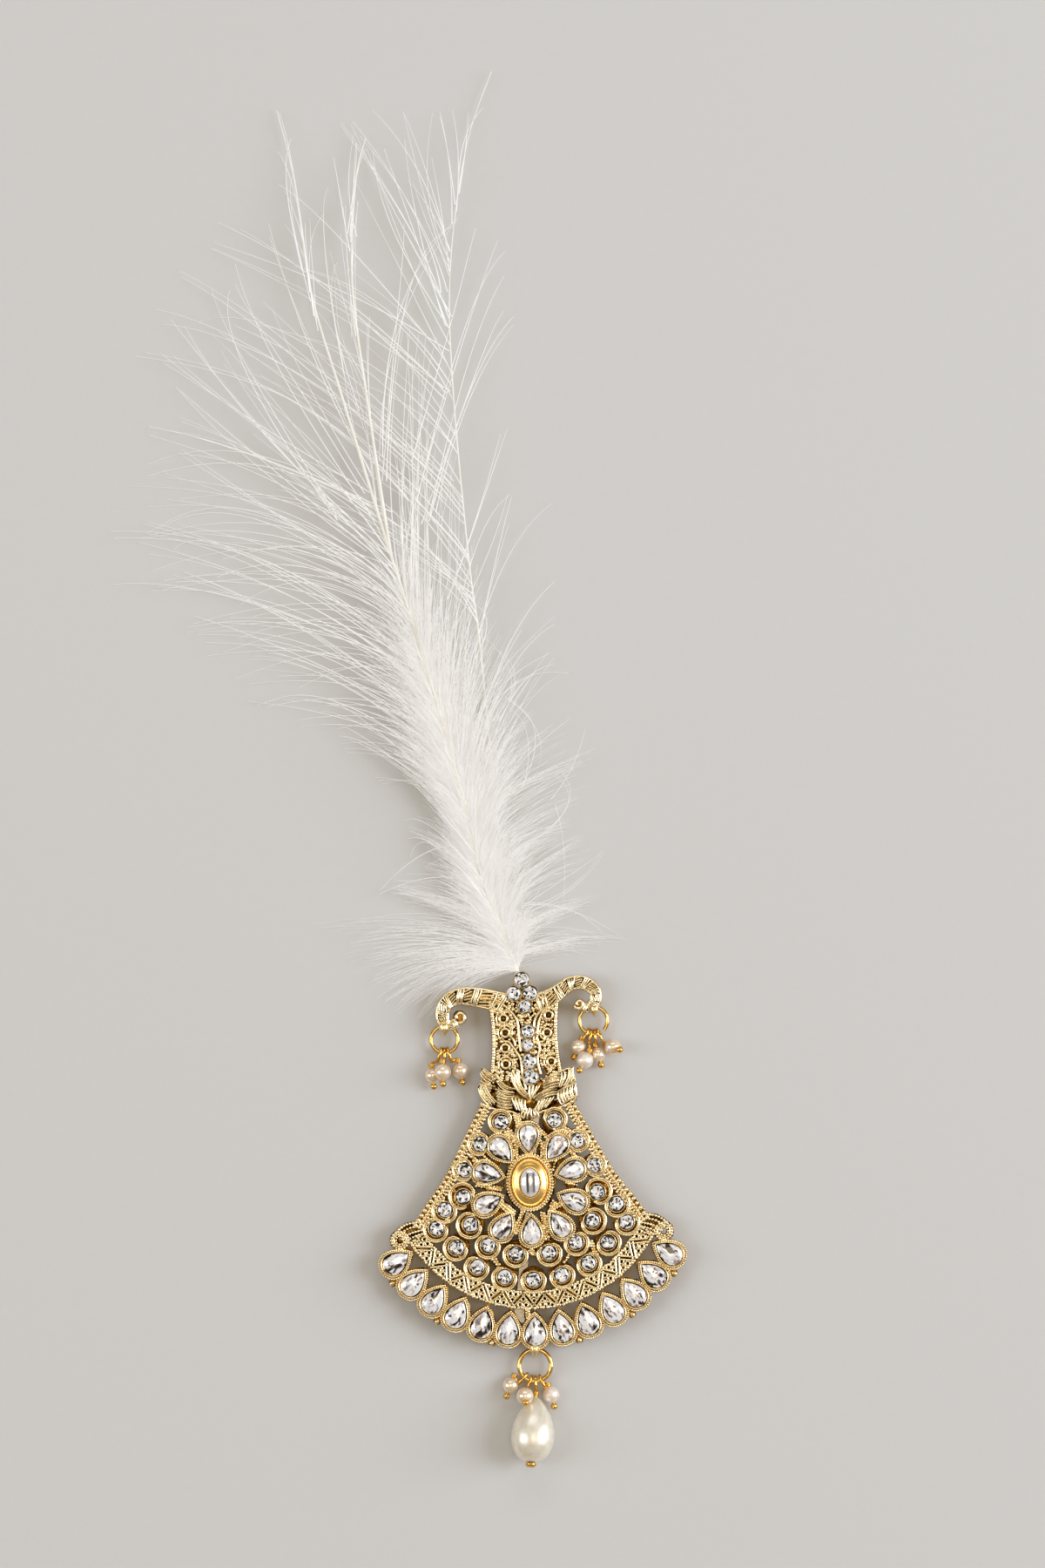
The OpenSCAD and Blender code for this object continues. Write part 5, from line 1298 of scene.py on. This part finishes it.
def make_vanes(feather):
    """Long barbs of every vane: some gather in pointed locks, the rest stray and cross."""
    chance = random.Random(3)
    strands = {}
    for name, shaft, first, last, turn, count, tips in VANES:
        count = int(count * feather.density)
        locks = [(k + chance.uniform(-0.4, 0.4)) / max(1, count // 5) for k in range(count // 5 + 1)]
        for k in range(count):
            u = within((k + chance.uniform(-1.5, 1.5)) / (count - 1))
            t = first + (last - first) * u
            x, y, z, r = along(shaft, t)
            root = Vector((x, y, z + chance.uniform(-0.3, 0.3)))
            way = turned(heading(shaft, t), turn + chance.gauss(0, 6))
            if chance.random() < 0.35:
                goal, apart = min(locks, key=lambda lock: abs(lock - u)), 0.8
                share = chance.uniform(0.9, 1.0)
            else:
                goal, apart, share = u + chance.gauss(0, 0.12), 2.4, 1 - 0.5 * chance.random() ** 1.4
            tip = root.lerp(Vector(along(tips, (len(tips) - 1) * within(goal))), share)
            tip += strayed(chance, apart, -0.4, 0.5)
            strands.setdefault(name, []).append(
                bent_barb(root, way, tip, chance.uniform(0.35, 0.6),
                          feather.barb_radius * chance.uniform(0.6, 1.1), chance, 12))
    for *spots, count in STRAYS:
        tip, middle, root = (Vector((*on_picture(*spots[i:i + 2]), height))
                             for i, height in ((0, 0.9), (2, 3.0), (4, 4.6)))
        for k in range(count):
            shifts = [strayed(chance, 0.9 if k else 0.0, -0.4, 0.4) for point in range(3)]
            end, start = tip + shifts[0] * 1.8, root + shifts[1]
            knee = (middle + shifts[2]) * 2 - (start + end) / 2
            thin = 0.55 if middle.x > 0 or tip.y < 55 else 1
            width = feather.barb_radius * chance.uniform(0.75, 1.1) * thin
            strands.setdefault("stray", []).append(barb(start, knee, end, width, chance, 16))
    for name, rows in strands.items():
        piece(wired(rows, 0), "vane_" + name, "barb", "plume")


DOWN_COUNT, DOWN_END, DOWN_CROWDED, DOWN_HIGHEST = 6600, 5.2, 1.2, 8.0


def make_down(feather):
    """Soft down on both sides of the main shaft, crowded near it, and the loose tufts beyond it."""
    chance = random.Random(9)
    soft = {"left": [], "right": [], "loose": []}
    count = int(DOWN_COUNT * feather.density)
    while count > 0:
        t = DOWN_END * chance.random()
        place = 0
        while place < len(DOWN) - 2 and DOWN[place + 1][0] < t:
            place += 1
        a, b = Vector(DOWN[place]), Vector(DOWN[place + 1])
        start, *sides, crowding = a.lerp(b, min(1.0, (t - a[0]) / (b[0] - a[0])))
        if DOWN_CROWDED * chance.random() > crowding:
            continue
        count -= 1
        side = chance.choice((-1, 1))
        reach, spread = sides[:2] if side > 0 else sides[2:]
        reach *= 0.3 + 0.7 * chance.random() ** 1.3
        spread *= chance.uniform(0.06, 1) ** 0.8
        x, y, z, r = along(SHAFT_MAIN, t)
        head = heading(SHAFT_MAIN, t)
        root = Vector((x, y, z + chance.uniform(-1.0, 0.2)))
        tip = root + Vector((*(turned(head, side * spread) * reach), 0))
        tip.z = within(z + chance.gauss(0.2, 1.4), 0.4, DOWN_HIGHEST)
        way = turned(head, side * spread * chance.uniform(0.2, 0.8))
        soft["left" if side > 0 else "right"].append(
            bent_barb(root, way, tip, chance.uniform(0.4, 0.6),
                      feather.down_radius * chance.uniform(0.6, 1.2), chance, 6))
    for t, spot, bow in TUFTS:
        tip = Vector((*on_picture(*spot), 1.0))
        for bundle in range(3):
            gather = chance.uniform(0.3, 1.0)
            goal = tip + Vector((chance.gauss(0, 2.2), chance.gauss(0, 2.2), 0)) if bundle else tip
            for k in range(int(chance.uniform(14, 26) * feather.density)):
                x, y, z, r = along(SHAFT_MAIN, max(0.05, t + chance.gauss(0, 0.12)))
                root = Vector((x, y, z + chance.uniform(-0.6, 0.6)))
                end = root.lerp(goal, 1 - 0.5 * chance.random() ** 1.3)
                end += strayed(chance, gather, -0.3, 1.2)
                way = turned((end - root).xy.normalized(), -math.degrees(bow) * chance.uniform(1, 5))
                soft["loose"].append(
                    bent_barb(root, way, end, 0.5, feather.down_radius * chance.uniform(0.5, 0.9),
                              chance, 7))
    for name, rows in soft.items():
        piece(wired(rows, 0), "down_" + name, "down", "plume")


def make_quills():
    """The shafts. Each thins towards its tip, and the right one starts low, under the main one."""
    strands = []
    for table, thick, thinning in ((SHAFT_MAIN, 0.6, 0.1), (SHAFT_LEFT, 0.6, 0.35),
                                   (SHAFT_MIDDLE, 0.6, 0.35), (SHAFT_RIGHT, 0.5, 0.28)):
        steps = (len(table) - 1) * 6
        rows = [(0.35, 35.4, 1.35, 0.72)] if table is SHAFT_MAIN else []
        for k, t in enumerate(even(table, steps)):
            x, y, z, r = along(table, t)
            if table is SHAFT_RIGHT:
                z *= 0.45 + 0.55 * within((k / steps - 0.3) / 0.15)
            rows.append((x, y, z, r * (thick - thinning * k / steps)))
        strands.append((rows, False))
    piece(wired(strands, 3), "quills", "quill", "plume")


# ---------------------------------------------------------------- settings, operators, panel

# Softboxes: place from the view's middle, width and length in metres, share of the power, colour
SOFTBOXES = {
    "softbox_left": ((-1.05, 0.0, 0.89), (0.58, 1.15), 0.66, "E5EEFF"),
    "softbox_right": ((1.5, 0.05, 0.95), (0.82, 1.5), 2.82, "E5EEFF"),
    "softbox_top": ((0.0, 1.3, 1.0), (1.4, 0.5), 0.46, "E5EEFF"),
    "softbox_over": ((0.15, 0.1, 2.3), (0.8, 0.8), 0.62, "FFECCA"),
}


class KALGI_PG_metalwork(bpy.types.PropertyGroup):
    """Sizes of the cast relief."""
    grain_radius: bpy.props.FloatProperty(
        name="Grain radius", description="Radius of a milgrain bead, in millimetres",
        default=0.24, min=0.1, max=0.5)
    grain_pitch: bpy.props.FloatProperty(
        name="Grain pitch", description="Distance from one milgrain bead to the next, in millimetres",
        default=0.42, min=0.2, max=1.0)


class KALGI_PG_feather(bpy.types.PropertyGroup):
    """How full the plume is."""
    density: bpy.props.FloatProperty(
        name="Fullness", description="Part of the full number of barbs", default=1.0, min=0.1, max=1.5,
        subtype="FACTOR")
    barb_radius: bpy.props.FloatProperty(
        name="Barb radius", description="Radius of a barb at its root, in millimetres",
        default=0.115, min=0.03, max=0.3)
    down_radius: bpy.props.FloatProperty(
        name="Down radius", description="Radius of a strand of down at its root, in millimetres",
        default=0.065, min=0.02, max=0.2)


class KALGI_PG_studio(bpy.types.PropertyGroup):
    """Surface and lights of the picture."""
    surface: bpy.props.FloatVectorProperty(
        name="Surface", description="Colour of the surface that the kalgi lies on", subtype="COLOR",
        size=4, default=linear("CFCDC8"), min=0.0, max=1.0)
    power: bpy.props.FloatProperty(
        name="Light", description="Power of each softbox", default=10.0, min=0.0, subtype="POWER")
    fill: bpy.props.FloatProperty(
        name="Fill", description="Brightness of the room", default=0.34, min=0.0, max=2.0)


class KALGI_OT_plate(bpy.types.Operator):
    """Makes the pierced plate and the lugs of the casting"""
    bl_idname = "kalgi.plate"
    bl_label = "Plate and lugs"

    def execute(self, context):
        make_plate()
        make_lugs()
        return {"FINISHED"}


class KALGI_OT_collets(bpy.types.Operator):
    """Makes the collets, their milgrain, the centre cup, the scroll rings and the webs"""
    bl_idname = "kalgi.collets"
    bl_label = "Collets and scrolls"

    def execute(self, context):
        sizes = context.scene.kalgi_metalwork
        make_collets(sizes)
        make_scrolls()
        make_webs(sizes)
        make_neck_collets()
        make_cup()
        return {"FINISHED"}


class KALGI_OT_relief(bpy.types.Operator):
    """Makes the zigzag band, side strips, neck, leaf collar and horns"""
    bl_idname = "kalgi.relief"
    bl_label = "Relief"

    def execute(self, context):
        make_band()
        make_sides()
        make_neck()
        make_leaves()
        make_horns()
        return {"FINISHED"}


class KALGI_OT_stones(bpy.types.Operator):
    """Cuts and sets every stone"""
    bl_idname = "kalgi.stones"
    bl_label = "Stones"

    def execute(self, context):
        make_stones()
        return {"FINISHED"}


class KALGI_OT_drops(bpy.types.Operator):
    """Makes the jump rings, head pins, small pearls and the big drop"""
    bl_idname = "kalgi.drops"
    bl_label = "Rings and pearls"

    def execute(self, context):
        make_rings()
        make_pins()
        make_pearls()
        return {"FINISHED"}


class KALGI_OT_brooch_pin(bpy.types.Operator):
    """Gives the hidden fastener its nickel-plated steel"""
    bl_idname = "kalgi.brooch_pin"
    bl_label = "Brooch pin"

    def execute(self, context):
        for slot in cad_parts["brooch_pin"].material_slots:
            slot.material = MATERIALS["steel"]
        return {"FINISHED"}


class KALGI_OT_plume(bpy.types.Operator):
    """Makes the quills, vanes and down of the plume"""
    bl_idname = "kalgi.plume"
    bl_label = "Plume"

    def execute(self, context):
        feather = context.scene.kalgi_feather
        make_quills()
        make_vanes(feather)
        make_down(feather)
        return {"FINISHED"}


class KALGI_OT_stage(bpy.types.Operator):
    """Lays the pale surface and sets the lights and the camera"""
    bl_idname = "kalgi.stage"
    bl_label = "Surface, lights and camera"

    def execute(self, context):
        scene, studio = context.scene, context.scene.kalgi_studio
        only()
        bpy.ops.mesh.primitive_plane_add(size=6, location=(0, 0, SURFACE * MM))
        floor = context.object
        floor.name = "surface"
        material, tree, shader = new_material("matt_painted_board", Roughness=0.9, Specular_IOR_Level=0.1)
        shade = [c * 0.975 for c in studio.surface[:3]] + [1]
        speckle = add_node(tree, "ShaderNodeMix", {"data_type": "RGBA"}, Factor=place_noise(tree, 1.5, 3),
                           A=studio.surface, B=shade)
        fill(shader.inputs["Base Color"], speckle.outputs["Result"])
        floor.data.materials.append(material)
        middle = Vector((*VIEW_MIDDLE, 0)) * MM
        for name, (place, (wide, tall), share, colour) in SOFTBOXES.items():
            light = bpy.data.lights.new(name, "AREA")
            light.shape = "RECTANGLE"
            light.size, light.size_y = wide, tall
            light.energy = studio.power * share
            light.color = linear(colour)[:3]
            box = linked(name, light)
            box.location = middle + Vector(place)
            box.rotation_euler = (middle - box.location).to_track_quat("-Z", "Y").to_euler()
        scene.world = bpy.data.worlds.new("room")
        scene.world.use_nodes = True
        background = scene.world.node_tree.nodes["Background"]
        fill(background.inputs["Color"], linear("FFF0D8"))
        fill(background.inputs["Strength"], studio.fill)
        camera = bpy.data.cameras.new("camera")
        camera.sensor_fit = "VERTICAL"
        camera.sensor_height = SENSOR
        camera.lens = SENSOR * VIEW_FROM / VIEW_TALL
        camera.clip_start = 0.05
        scene.camera = linked("camera", camera)
        scene.camera.location = middle + Vector((0, 0, VIEW_FROM))
        scene.camera.rotation_euler = (0, 0, math.radians(VIEW_TURN))
        scene.view_settings.view_transform = "Standard"
        return {"FINISHED"}


class KALGI_PT_pieces(bpy.types.Panel):
    """Lists the kalgi's pieces and settings"""
    bl_label = "Kalgi"
    bl_space_type = "VIEW_3D"
    bl_region_type = "UI"
    bl_category = "Kalgi"

    def draw(self, context):
        for group in ("kalgi_metalwork", "kalgi_feather", "kalgi_studio"):
            settings = getattr(context.scene, group)
            for name in settings.__annotations__:
                self.layout.prop(settings, name)
        for operator in PIECE_OPERATORS:
            self.layout.operator(operator.bl_idname)


GROUPS = {"kalgi_metalwork": KALGI_PG_metalwork, "kalgi_feather": KALGI_PG_feather,
          "kalgi_studio": KALGI_PG_studio}
PIECE_OPERATORS = (KALGI_OT_stage, KALGI_OT_plate, KALGI_OT_collets, KALGI_OT_relief, KALGI_OT_stones,
                   KALGI_OT_drops, KALGI_OT_brooch_pin, KALGI_OT_plume)
CLASSES = tuple(GROUPS.values()) + PIECE_OPERATORS + (KALGI_PT_pieces,)


def register():
    for cls in CLASSES:
        bpy.utils.register_class(cls)
    for name, group in GROUPS.items():
        setattr(bpy.types.Scene, name, bpy.props.PointerProperty(type=group))


def unregister():
    for name in GROUPS:
        delattr(bpy.types.Scene, name)
    for cls in reversed(CLASSES):
        bpy.utils.unregister_class(cls)


def main():
    register()
    make_materials()
    for operator in PIECE_OPERATORS:
        group, name = operator.bl_idname.split(".")
        getattr(getattr(bpy.ops, group), name)()


if __name__ == "__main__":
    main()
